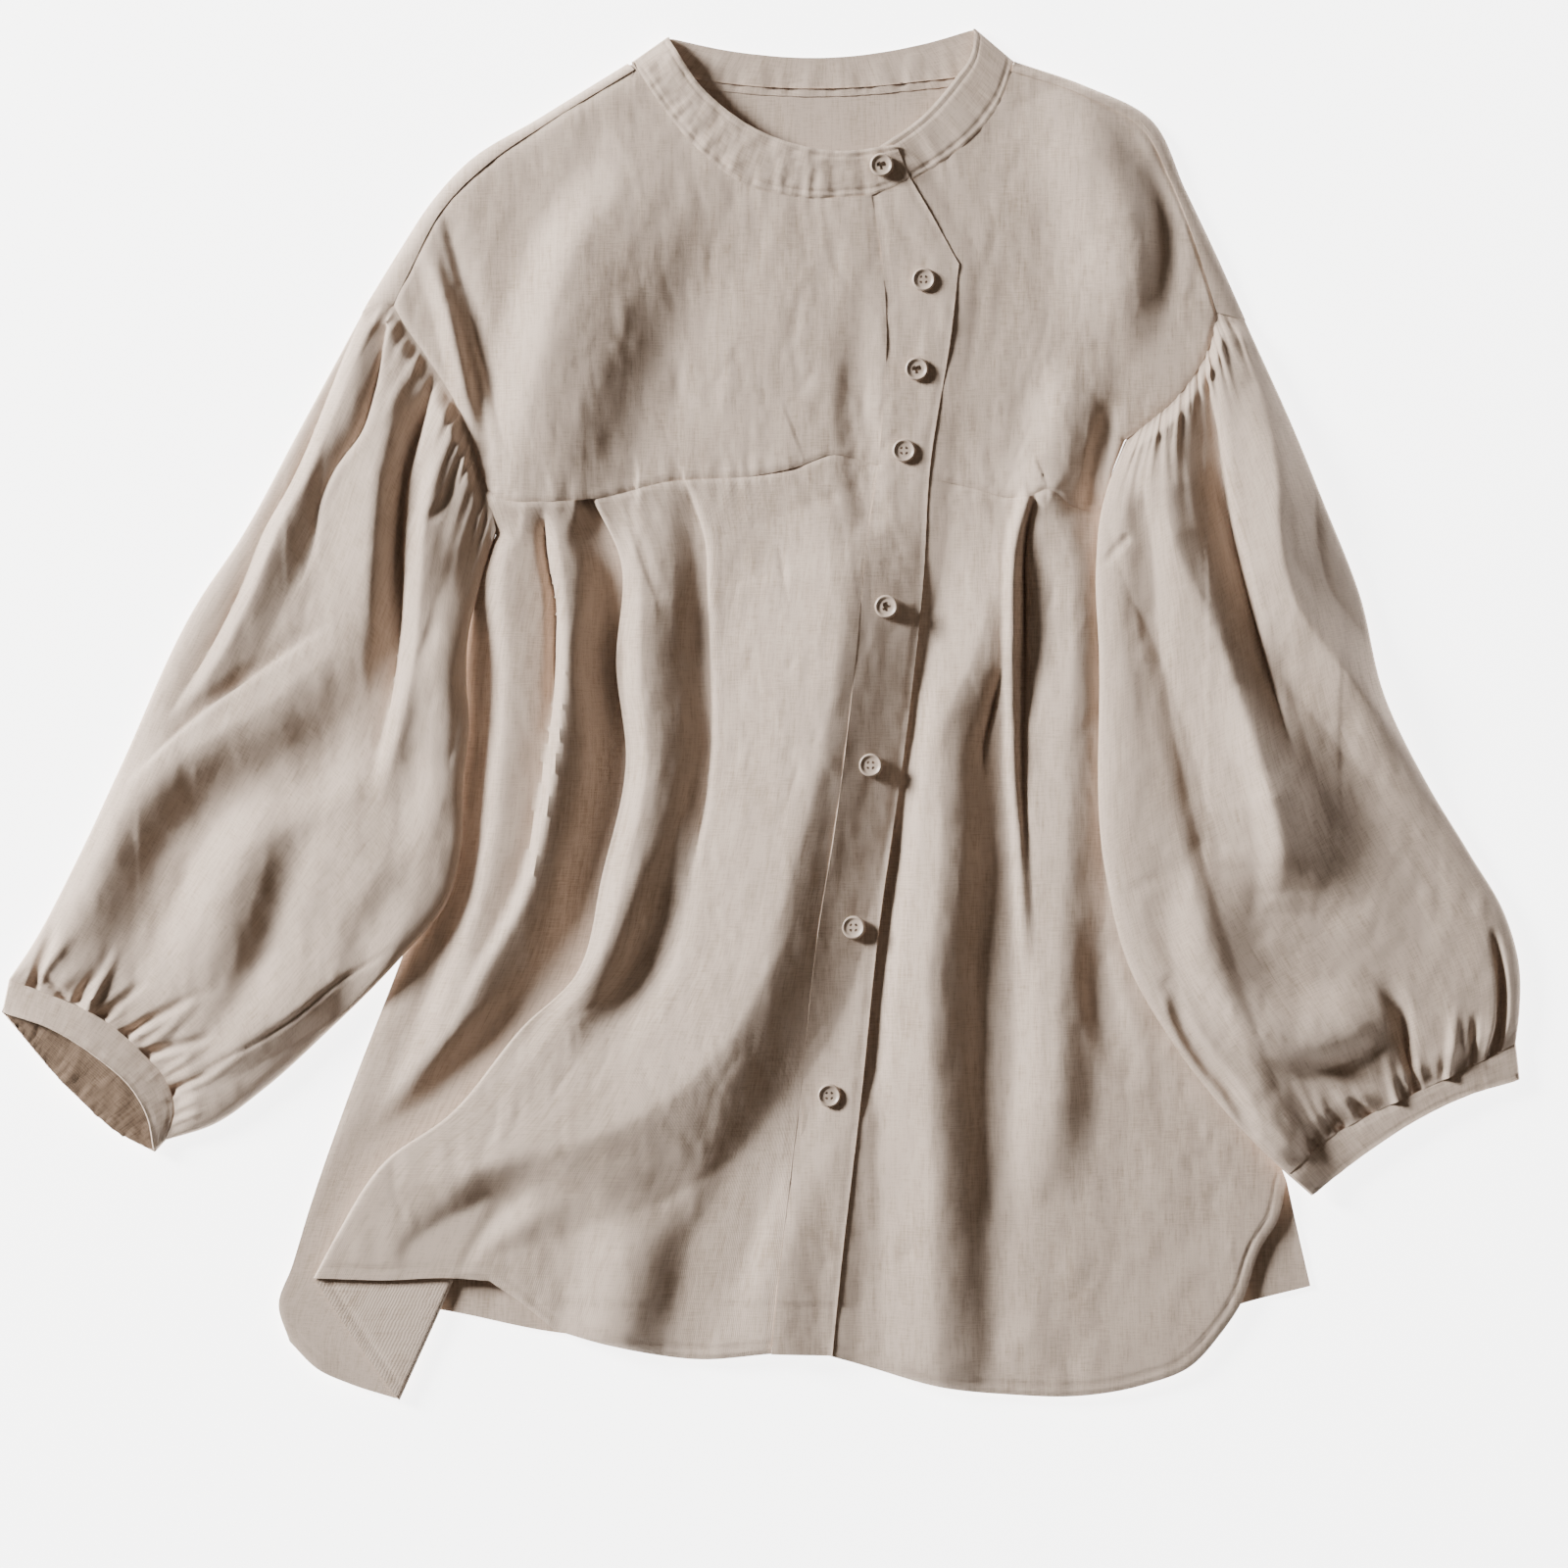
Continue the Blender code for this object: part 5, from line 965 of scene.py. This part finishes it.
def make_skirt_right():
    """The right skirt: a main part, a deep knife pleat folded under it, and a side part."""
    rows, main_columns, under_columns, side_columns = 262, 112, 10, 44
    pleat, inner = even(PLEAT_EDGE, rows), even(PLEAT_INNER, rows)
    seam = smooth(YOKE_SEAM_RIGHT)
    lengths = passed_along(seam)
    pleat_at = lengths[np.argmin(np.abs(seam[:, 0] - PLEAT_EDGE[0][0]))] / lengths[-1]

    main_top = spaced(seam, np.linspace(pleat_at, 1, main_columns))
    main_bottom = run([HEM_MAIN, HEM_MAIN_RISE, HEM_MAIN_LOW], [42, 18, main_columns - 61])
    main_plan = fill(main_top, main_bottom, pleat, even(PLACKET_SEAM_SKIRT, rows))
    main_plan = snapped(drawn_in(main_plan, left=PLEAT_TURN), RIGHT_FRONT_CREASES)[:, ::-1]
    main_sheet = raised(lean_over(main_plan, RIGHT_FRONT_CREASES), main_skirt(main_plan))
    main_sheet[:, -1, :2] = main_plan[:, -1]

    under_top = even([pleat[0], inner[0]], under_columns)
    under_plan = fill(under_top, even(HEM_FLAP, under_columns), pleat, inner)
    under_plan = drawn_in(under_plan, PLEAT_TURN, PLEAT_TURN)
    under_level = REST_LEVEL + LAYER_STEP - SOLID_WALL / 2
    under_stitch = HEM_STITCH * stitched(under_plan, HEM_FLAP, HEM_WIDTH)
    under_sheet = np.dstack([under_plan, under_level + under_stitch])

    side_top = np.vstack([spaced(seam, np.linspace(0, pleat_at, side_columns - 1)), inner[:1]])
    side_plan = fill(side_top, even(backwards(HEM_SIDE), side_columns),
                     run([UNDERARM_RIGHT, SIDE_RIGHT], [12, rows - 13]), inner)
    side_plan = snapped(drawn_in(side_plan, right=PLEAT_TURN), SIDE_CREASES)[:, ::-1]
    side_sheet = raised(lean_over(side_plan, SIDE_CREASES), side_part(side_plan))

    first = half_turn(pleat, main_plan[:, -1], main_sheet[:, -1, 2], under_sheet[:, 0, 2], 5)
    second = half_turn(inner, under_plan[:, -1], under_sheet[:, -1, 2], side_sheet[:, 0, 2], 3)
    sheet = np.concatenate([main_sheet, first, under_sheet, second, side_sheet], axis=1)
    steps = passed_along(sheet[rows // 2, :, :2])
    coordinates = np.dstack([np.broadcast_to(-steps[None], sheet.shape[:2]), sheet[..., 1]])
    cloth_object("skirt_right", "front_skirt_right", sheet, coordinates, outer=-1)


def make_back():
    """The flat back."""
    neck = even(NECK_SEAM_BACK, 72)[1:-1]
    neck[:, 1] -= BACK_TUCK * np.minimum(1, 5 * np.sin(np.linspace(0, np.pi, len(neck))))
    top = np.vstack([even(backwards(SHOULDER_RIGHT), 40), neck, even(SHOULDER_LEFT, 40)])
    left = run([ARMHOLE_RIGHT, UNDERARM_RIGHT, BACK_SIDE_RIGHT], [16, 4, 80])
    right = run([ARMHOLE_LEFT, UNDERARM_LEFT, SIDE_LEFT, BACK_VENT_LEFT], [16, 8, 64, 12])
    plan = fill(top, even(BACK_HEM, len(top)), np.vstack([top[:1], left]), np.vstack([top[-1:], right]))
    hem = np.abs(distance(plan, joined(BACK_HEM, backwards(BACK_VENT_LEFT))))
    waves = 0.8 * gathers(hem, plan[..., 0] - 150, 520, 22, 1.0, 60, 81) + 0.25 * rumple(plan, 1.0, 82)
    height = BACK_LEVEL + np.clip(waves, -0.1, 1.6) * ease((plan[..., 1] - 600) / 30)
    cloth_object("back", "back", raised(plan, height), plan, BACK_CLOTH)


def make_shoulder(piece, shoulder, seam, front):
    """The strip of the back that is rolled over a shoulder to the forward seam."""
    edge, over = even(shoulder, 120), even(seam, 120)
    high = front(over[None])[0] + SOLID_WALL / 2
    rows = [np.column_stack([edge + (over - edge) * STRIP_UNDER, np.full(len(edge), STRIP_FOOT)])]
    for turn in np.linspace(0, 1, 12):
        plan_row = edge + (over - edge) * (1 - math.cos(turn * math.pi / 2)) ** 0.9
        level = STRIP_LOW + (high - STRIP_LOW) * math.sin(turn * math.pi / 2)
        rows.append(np.column_stack([plan_row, level]))
    strip = np.stack(rows, axis=0)
    cloth_object(piece, None, strip, strip[..., :2], outer=-1)


# ---------------------------------------------------------------- collar
BAND_WIDTH = 24.0
BAND_STITCHES = (0.13, 0.87)     # shares of the band's width
FOLD_ROLL = 12.0


def fold_roll(plan, height, fold_line):
    return ROLL_LEVEL + (height - ROLL_LEVEL) * rounded_off(np.abs(distance(plan, fold_line)) / FOLD_ROLL)


def make_collar_band():
    """One band from its button end, round both shoulder folds, to the end under the overlap."""
    rows, back_columns, left_columns = 25, 110, 60
    shares = np.linspace(0, 1, rows)[:, None]
    right_seam = run([backwards(BAND_END_SEAM), backwards(NECK_SEAM_RIGHT)], [12, 100])
    front_line = strip_between(even(backwards(BAND_TOP_RIGHT), len(right_seam)), right_seam, rows)
    back_line = strip_between(even(BAND_TOP_BACK, back_columns), even(NECK_SEAM_BACK, back_columns), rows)
    far_line = strip_between(even(BAND_TOP_LEFT, left_columns), even(NECK_SEAM_LEFT, left_columns), rows)
    front = drawn_in(front_line, right=2)
    back = drawn_in(back_line, 2, 2)
    far = drawn_in(far_line, left=2)

    ripple = (puckers(front_line, joined(NECK_SEAM_RIGHT, BAND_END_SEAM), 91, 8, 1.1, 30)
              + puckers(front_line, backwards(BAND_TOP_RIGHT), 94, 11, 0.8, 24)
              + 0.4 * rumple(front_line, 1, 95, 7, 8))
    groove = -BAND_STITCH * sum(bell(np.abs(shares - place) / 0.06) for place in BAND_STITCHES)
    front_rise = right_front(front[-1:], False) + BAND_STAND * (1 - shares) + ripple + groove + 0.3
    end = ease(np.linspace(0, 1, front.shape[1]) / 0.12)
    front_rise = np.maximum(front_rise, (RIGHT_FRONT_LEVEL + 0.6) * (1 - end) + front_rise * end)
    far_rise = left_front(far[-1:], False) + 0.5 * BAND_STAND * (1 - shares) + 0.3
    far_rise = far_rise + puckers(far_line, NECK_SEAM_LEFT, 92, 8, 1.1, 30) + groove
    rims = -0.9 * (np.clip(1 - shares * 9, 0, 1) ** 2) - 0.5 * np.clip(1 - (1 - shares) * 9, 0, 1) ** 2
    front_sheet = raised(front, fold_roll(front, front_rise + rims, [BAND_TOP_RIGHT[0], NECK_SEAM_RIGHT[0]]))
    far_sheet = raised(far, fold_roll(far, far_rise + rims, [BAND_TOP_LEFT[0], NECK_SEAM_LEFT[0]]))
    seat = 0.1 + 0.55 * shares - 0.2 * bell(np.abs(shares - 0.12) / 0.09)
    seat = seat + puckers(back_line, NECK_SEAM_BACK, 93, 8, 1.1, 30)
    back_low = np.dstack([back, np.maximum(seat, 0.05)])

    first = half_turn(back_line[:, 0], back[:, 0], front_sheet[:, -1, 2], back_low[:, 0, 2], 7)
    second = half_turn(back_line[:, -1], back[:, -1], far_sheet[:, 0, 2], back_low[:, -1, 2], 7)[:, ::-1]
    sheet = np.concatenate([front_sheet, first, back_low, second, far_sheet], axis=1)
    coordinates = cloth_grid(passed_along(sheet[rows // 2, :, :2]), shares[:, 0] * BAND_WIDTH)
    cloth_object("collar_band", "collar_band", sheet, coordinates, BAND_CLOTH, outer=-1)


# ---------------------------------------------------------------- sleeves and cuffs
LIFT_START_RIGHT = 285.0  # down; from here the sleeve rises onto the body, over the run
LIFT_RUN_RIGHT = 50.0
LIFT_START_LEFT = 226.0
LIFT_RUN_LEFT = 26.0
LIFT_OUT = 24.0           # the rise begins this far outside the body's side
LIFT_REACH_RIGHT = 22.0
LIFT_INSIDE_LEFT = 2.0
BRIDGE_REACH = 130.0      # the left sleeve's upper side begins to rise this far out
BRIDGE_RUN = 120.0
BRIDGE_SHARE = 0.6


def lift_right(plan):
    past_armhole = ease((plan[..., 1] - LIFT_START_RIGHT) / LIFT_RUN_RIGHT)
    return SLEEVE_LIFT * ease((distance(plan, SIDE_RIGHT) + LIFT_OUT) / LIFT_REACH_RIGHT) * past_armhole


def lift_left(plan, reach=LIFT_OUT, ramp=LIFT_RUN_LEFT):
    past_armhole = ease((plan[..., 1] - LIFT_START_LEFT) / ramp)
    return SLEEVE_LIFT * ease((LIFT_INSIDE_LEFT + reach - distance(plan, SIDE_LEFT)) / reach) * past_armhole


def bridged_left(plan):
    """The lift of the left sleeve's upper side, which bridges from the body to the board."""
    return np.maximum(lift_left(plan), BRIDGE_SHARE * lift_left(plan, BRIDGE_REACH, BRIDGE_RUN))


def cuff_level(columns, rise):
    across = np.linspace(0.02, 0.98, columns)
    return ROLL_LEVEL + TUBE_RISE + rise * np.sqrt(np.sin(np.pi * across))


def crowded(count):
    """Shares from 0 to 1, closer together near both ends."""
    t = np.linspace(0, 1, count)
    return 0.55 * t + 0.45 * (0.5 - 0.5 * np.cos(np.pi * t))


def tube_object(piece, over, under, outline, lift, wide, long, thickness=CLOTH):
    """A flattened tube: its ring goes over the top, round one edge, back below, round the other."""
    rings = []
    for side, sheet in ((0, over), (-1, under[:, ::-1])):
        edge = outline[:, side]
        rings += [np.column_stack([edge, ROLL_LEVEL + lift(edge)])[:, None], sheet]
    ring = np.concatenate(rings, axis=1)
    coordinates = cloth_grid(np.linspace(0, wide, ring.shape[1]), np.linspace(0, long, ring.shape[0]))
    return cloth_object(piece, piece, ring, coordinates, thickness, closed=True)


def make_sleeve(piece, cap_lines, outer, inner, cuff_seam, folds, creases, cuff_folds, body_height,
                lift, bridged, flip, seed):
    columns, rows, below_columns = 132, 240, 36
    cap_line = np.vstack([smooth(line)[:-1] for line in cap_lines] + [np.array(cap_lines[-1][-1:], float)])
    shares = crowded(columns)
    outline = fill(spaced(cap_line, shares), spaced(smooth(cuff_seam), shares), even(outer, rows),
                   even(inner, rows), shares)
    plan = snapped(drawn_in(outline, TUBE_EDGE, TUBE_EDGE), creases)
    from_cap = np.linalg.norm(plan - plan[:1], axis=-1)
    from_cuff = np.linalg.norm(plan - plan[-1:], axis=-1)

    height = folded(plan, np.full(plan.shape[:-1], SLEEVE_LEVEL), folds, creases)
    height = keep_above(height, SLEEVE_LOWEST)
    height += rumple(plan, 0.6, seed + 2, 24, 36)
    height += scatter_creases(plan, 60, seed + 3, 0.1, 0.5, (16, 60), (0.1, 0.45), (4, 9))
    for line in (outer, inner):
        height = edge_height(plan, height, Edge(line, ROLL_LEVEL, SLEEVE_ROLL, 0))
    cap_height = np.maximum(body_height(plan[:1], False), ROLL_LEVEL + TUBE_RISE) - 0.9
    height = cap_height + (height - cap_height) * ease(from_cap / CAP_REACH)
    cuff_height = ROLL_LEVEL + (cuff_level(columns, SEWN_OPENING)[None] - ROLL_LEVEL) * 0.92
    height = cuff_height + (height - cuff_height) * ease(from_cuff / CUFF_REACH)
    height = folded(plan, height, cuff_folds, [])
    side = ease(3 * np.minimum(shares, 1 - shares) / 0.3)
    for from_seam, pitch, depth, reach, draw in (
            (from_cap, 8.0, 2.0, 75, 0), (from_cap, 4.2, 0.8, 30, 4),
            (from_cuff, 7.0, 1.8, 55, 1), (from_cuff, 4.2, 0.8, 22, 6)):
        height += side * gathers(from_seam, shares * CAP_WIDTH, CAP_WIDTH, pitch, depth, reach, seed + draw)
    away = ease(from_cuff / 75) * ease(from_cap / 45)
    height = np.maximum(height, TUBE_LOWEST_TOP) + lift(plan) + (bridged(plan) - lift(plan)) * away

    over = lean_over(plan, creases)
    over[0] += unit(over[0] - over[1]) * CAP_TUCK
    picks = np.unique(np.linspace(0, columns - 1, below_columns).round().astype(int))
    under = plan[:, picks]
    uneven = 0.5 * (1 + lattice_noise(under[..., 0] / 20, under[..., 1] / 40, seed + 7))
    under_low = TUBE_BOTTOM + lift(under) + uneven * ease(lift(under) / 4)
    sheets = [raised(over, height), np.dstack([under, under_low]), outline]
    if flip:
        sheets = [sheet[:, ::-1] for sheet in sheets]
    wide = 2 * np.linalg.norm(plan[rows // 2, 0] - plan[rows // 2, -1])
    tube_object(piece, *sheets, lift, wide, passed_along(plan[:, columns // 2])[-1])


def make_cuff(piece, seam, edge, under_edge, rise, lip, lift, seed):
    columns, rows = 90, 14
    seam_line = even(seam, columns)
    outline = strip_between(seam_line, even(edge, columns), rows)
    over = drawn_in(outline, TUBE_EDGE, TUBE_EDGE)
    under = drawn_in(strip_between(seam_line, even(under_edge, columns), rows), TUBE_EDGE, TUBE_EDGE)
    level = np.array([cuff_level(columns, opening) for opening in np.linspace(SEWN_OPENING, rise, rows)])
    level += puckers(over, seam, seed, 7, 0.6, 14) + 0.8 * puckers(over, edge, seed + 1, 8, 0.6, 12)
    level += PLACKET_STITCH * (stitched(over, seam, 1.8) + stitched(over, edge, 1.8))
    shares = np.linspace(0, 1, rows)[:, None]
    level -= 0.6 * np.clip(1 - shares * 8, 0, 1) ** 2
    uneven = 0.25 * shares * (1 + rumple(under, 1.0, seed + 2, 5, 7))
    low = TUBE_BOTTOM + lift(under) + lip * (shares**1.5 + uneven)
    made = tube_object(piece, raised(over, level + lift(over)), np.dstack([under, low]), outline, lift,
                       250, 17, CUFF_CLOTH)
    # The open cuff's whole inner side gets the darker linen: painted shade inside its mouth
    if lip:
        made.data.materials.append(linen_painted_shade)
        painted_shade_faces = np.zeros(len(made.data.polygons), np.int32)
        ring = (rows - 1) * (2 * columns + 2)
        painted_shade_faces[ring:2 * ring] = 1
        made.data.polygons.foreach_set("material_index", painted_shade_faces)


# ---------------------------------------------------------------- buttons
BUTTON_SIDES = 40
HOLE_SIDES = 10
HOLE_RADIUS = 0.8
HOLE_SPACING = 1.45
HOLE_DEPTH = 1.2
DISH = 1.0                # how far the middle lies below the rim
BUTTON_SEAT = 0.35        # from the placket's outer side to the button's underside


def circle(radius, sides):
    turns = np.linspace(0, math.tau, sides, endpoint=False)
    return [(radius * math.cos(turn), radius * math.sin(turn)) for turn in turns]


def make_button(number, across, down):
    """A four-hole button with a rolled rim and a dished middle."""
    solid = bpy.data.objects[f"button_{number}"]
    points = np.array([solid.matrix_world @ v.co for v in solid.data.vertices])
    middle = points.mean(axis=0)
    spread = points - middle
    if number > 1:
        seat = overlap_level(np.array([[[across, down]]], float))[0, 0] + SOLID_WALL / 2 + BUTTON_SEAT
        middle[2] += seat * MM - points[:, 2].min()
    _, _, axes = np.linalg.svd(spread, full_matrices=False)
    up = axes[2] * np.sign(axes[2][2])
    right = unit(np.cross([0, 1, 0], up))
    ahead = np.cross(up, right)
    heights = spread @ up
    base, thick = heights.min() / MM, (heights.max() - heights.min()) / MM
    profile = [(0, 0), (4.9, 0), (5.7, 0.45), (6.0, 1.1), (5.95, 1.8), (5.6, thick - 0.2), (5.1, thick),
               (4.6, thick - 0.2), (4.2, thick - 0.7), (3.6, thick - 0.95), (2.4, thick - DISH)]
    verts, faces = [], []
    for radius, z in profile:
        verts += [(x, y, z) for x, y in circle(radius, BUTTON_SIDES)]
    for ring in range(len(profile) - 1):
        for k in range(BUTTON_SIDES):
            a, b = ring * BUTTON_SIDES + k, ring * BUTTON_SIDES + (k + 1) % BUTTON_SIDES
            faces.append((a, b, b + BUTTON_SIDES, a + BUTTON_SIDES))
    rings = [(len(verts) - BUTTON_SIDES, BUTTON_SIDES)]
    for cx, cy in ((-1, -1), (1, -1), (1, 1), (-1, 1)):
        first = len(verts)
        for z in (thick - DISH, thick - DISH - HOLE_DEPTH):
            verts += [(cx * HOLE_SPACING + x, cy * HOLE_SPACING + y, z)
                      for x, y in circle(HOLE_RADIUS, HOLE_SIDES)]
        rings.append((first, HOLE_SIDES))
        for k in range(HOLE_SIDES):
            n = (k + 1) % HOLE_SIDES
            faces.append((first + k, first + HOLE_SIDES + k, first + HOLE_SIDES + n, first + n))
        faces.append(tuple(first + HOLE_SIDES + k for k in range(HOLE_SIDES))[::-1])
    made = bpy.data.meshes.new(f"face_{number}")
    local = np.array(verts)
    turned = middle + ((local[:, :1] * right + local[:, 1:2] * ahead + (local[:, 2:] + base) * up) * MM)
    made.from_pydata(turned.tolist(), [], faces)
    work = bmesh.new()
    work.from_mesh(made)
    work.verts.ensure_lookup_table()
    edges = []
    for first, sides in rings:
        ring = [work.verts[first + k] for k in range(sides)]
        edges += [work.edges.get((ring[k], ring[(k + 1) % sides])) for k in range(sides)]
    bmesh.ops.triangle_fill(work, use_beauty=True, use_dissolve=False, edges=edges)
    bmesh.ops.recalc_face_normals(work, faces=work.faces)
    work.to_mesh(made)
    work.free()
    made.materials.append(button_finish)
    made.polygons.foreach_set("use_smooth", np.ones(len(made.polygons), bool))
    made.set_sharp_from_angle(angle=math.radians(40))
    body = bpy.data.objects.new(f"sewn_button_{number}", made)
    bpy.context.scene.collection.objects.link(body)
    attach(body, "root")
    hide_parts(f"button_{number}")


# ---------------------------------------------------------------- build
make_yoke_right()
make_yoke_left()
make_skirt_left()
make_placket_top()
make_placket_under()
make_skirt_right()
make_back()
make_shoulder("shoulder_right", backwards(SHOULDER_RIGHT), backwards(FORWARD_SEAM_RIGHT), right_front)
make_shoulder("shoulder_left", SHOULDER_LEFT, FORWARD_SEAM_LEFT, left_front)
make_collar_band()
make_sleeve("sleeve_right", [SLEEVE_CAP_RIGHT, ARMHOLE_RIGHT, UNDERARM_RIGHT], SLEEVE_OUTER_RIGHT,
            SLEEVE_INNER_RIGHT, CUFF_SEAM_RIGHT, SLEEVE_FOLDS_RIGHT, SLEEVE_CREASES_RIGHT,
            CUFF_FOLDS_RIGHT, right_front, lift_right, lift_right, False, 101)
make_sleeve("sleeve_left", [SLEEVE_CAP_LEFT, ARMHOLE_LEFT], SLEEVE_OUTER_LEFT,
            SLEEVE_INNER_LEFT, CUFF_SEAM_LEFT, SLEEVE_FOLDS_LEFT, SLEEVE_CREASES_LEFT,
            CUFF_FOLDS_LEFT, left_front, lift_left, bridged_left, True, 121)
make_cuff("cuff_right", CUFF_SEAM_RIGHT, CUFF_EDGE_RIGHT, CUFF_UNDER_RIGHT, OPEN_MOUTH, MOUTH_LIP,
          lift_right, 141)
make_cuff("cuff_left", backwards(CUFF_SEAM_LEFT), backwards(CUFF_EDGE_LEFT), backwards(CUFF_EDGE_LEFT),
          SEWN_OPENING, 0.0, lift_left, 151)
for number, (across, down) in enumerate(BUTTONS, 1):
    make_button(number, across, down)


# ---------------------------------------------------------------- the fields of a cut size of what shows, mm; no sizes are listed
Cut = namedtuple("Cut", "piece wide long filled rests_on")     # filled: share of its rectangle

# ---------------------------------------------------------------- floor, light, camera
BOARD_MIDDLE = 400.0
FLOOR_SIZE = 8.0
FLOOR_LEVEL = -0.0003
CAMERA_HEIGHT = 3.0
KEY_ELEVATION = math.radians(23)
KEY_AZIMUTH = math.radians(155)      # from +X towards +Y: upper left of the board
KEY_DISTANCE = 5.0

bpy.ops.mesh.primitive_plane_add(size=FLOOR_SIZE, location=(0, 0, FLOOR_LEVEL))
floor = bpy.context.object
floor.name = "floor"
paper, _, paper_shader = new_material("paper", 0.9)
paper_shader.inputs["Base Color"].default_value = (0.9, 0.9, 0.9, 1)
paper_shader.inputs["Emission Color"].default_value = (1, 1, 1, 1)
paper_shader.inputs["Emission Strength"].default_value = 5.0
floor.data.materials.append(paper)

key_data = bpy.data.lights.new("key", "AREA")
key_data.shape = "DISK"
key_data.size = 1.5
key_data.energy = 800
key_data.color = (1.0, 0.985, 0.965)
key = bpy.data.objects.new("key", key_data)
key.location = (KEY_DISTANCE * math.cos(KEY_ELEVATION) * math.cos(KEY_AZIMUTH),
                KEY_DISTANCE * math.cos(KEY_ELEVATION) * math.sin(KEY_AZIMUTH),
                KEY_DISTANCE * math.sin(KEY_ELEVATION))
key.rotation_euler = (-key.location).to_track_quat("-Z", "Y").to_euler()
bpy.context.scene.collection.objects.link(key)

sky = bpy.data.worlds.new("soft")
bpy.context.scene.world = sky
sky.use_nodes = True
sky.node_tree.nodes["Background"].inputs["Color"].default_value = (1.0, 0.84, 0.69, 1)
sky.node_tree.nodes["Background"].inputs["Strength"].default_value = 0.1

camera_data = bpy.data.cameras.new("camera")
camera_data.lens = 135
camera_data.sensor_width = 36
camera = bpy.data.objects.new("camera", camera_data)
camera.location = ((BOARD_MIDDLE - ORIGIN_ACROSS) * MM, (ORIGIN_DOWN - BOARD_MIDDLE) * MM, CAMERA_HEIGHT)
bpy.context.scene.collection.objects.link(camera)
bpy.context.scene.camera = camera
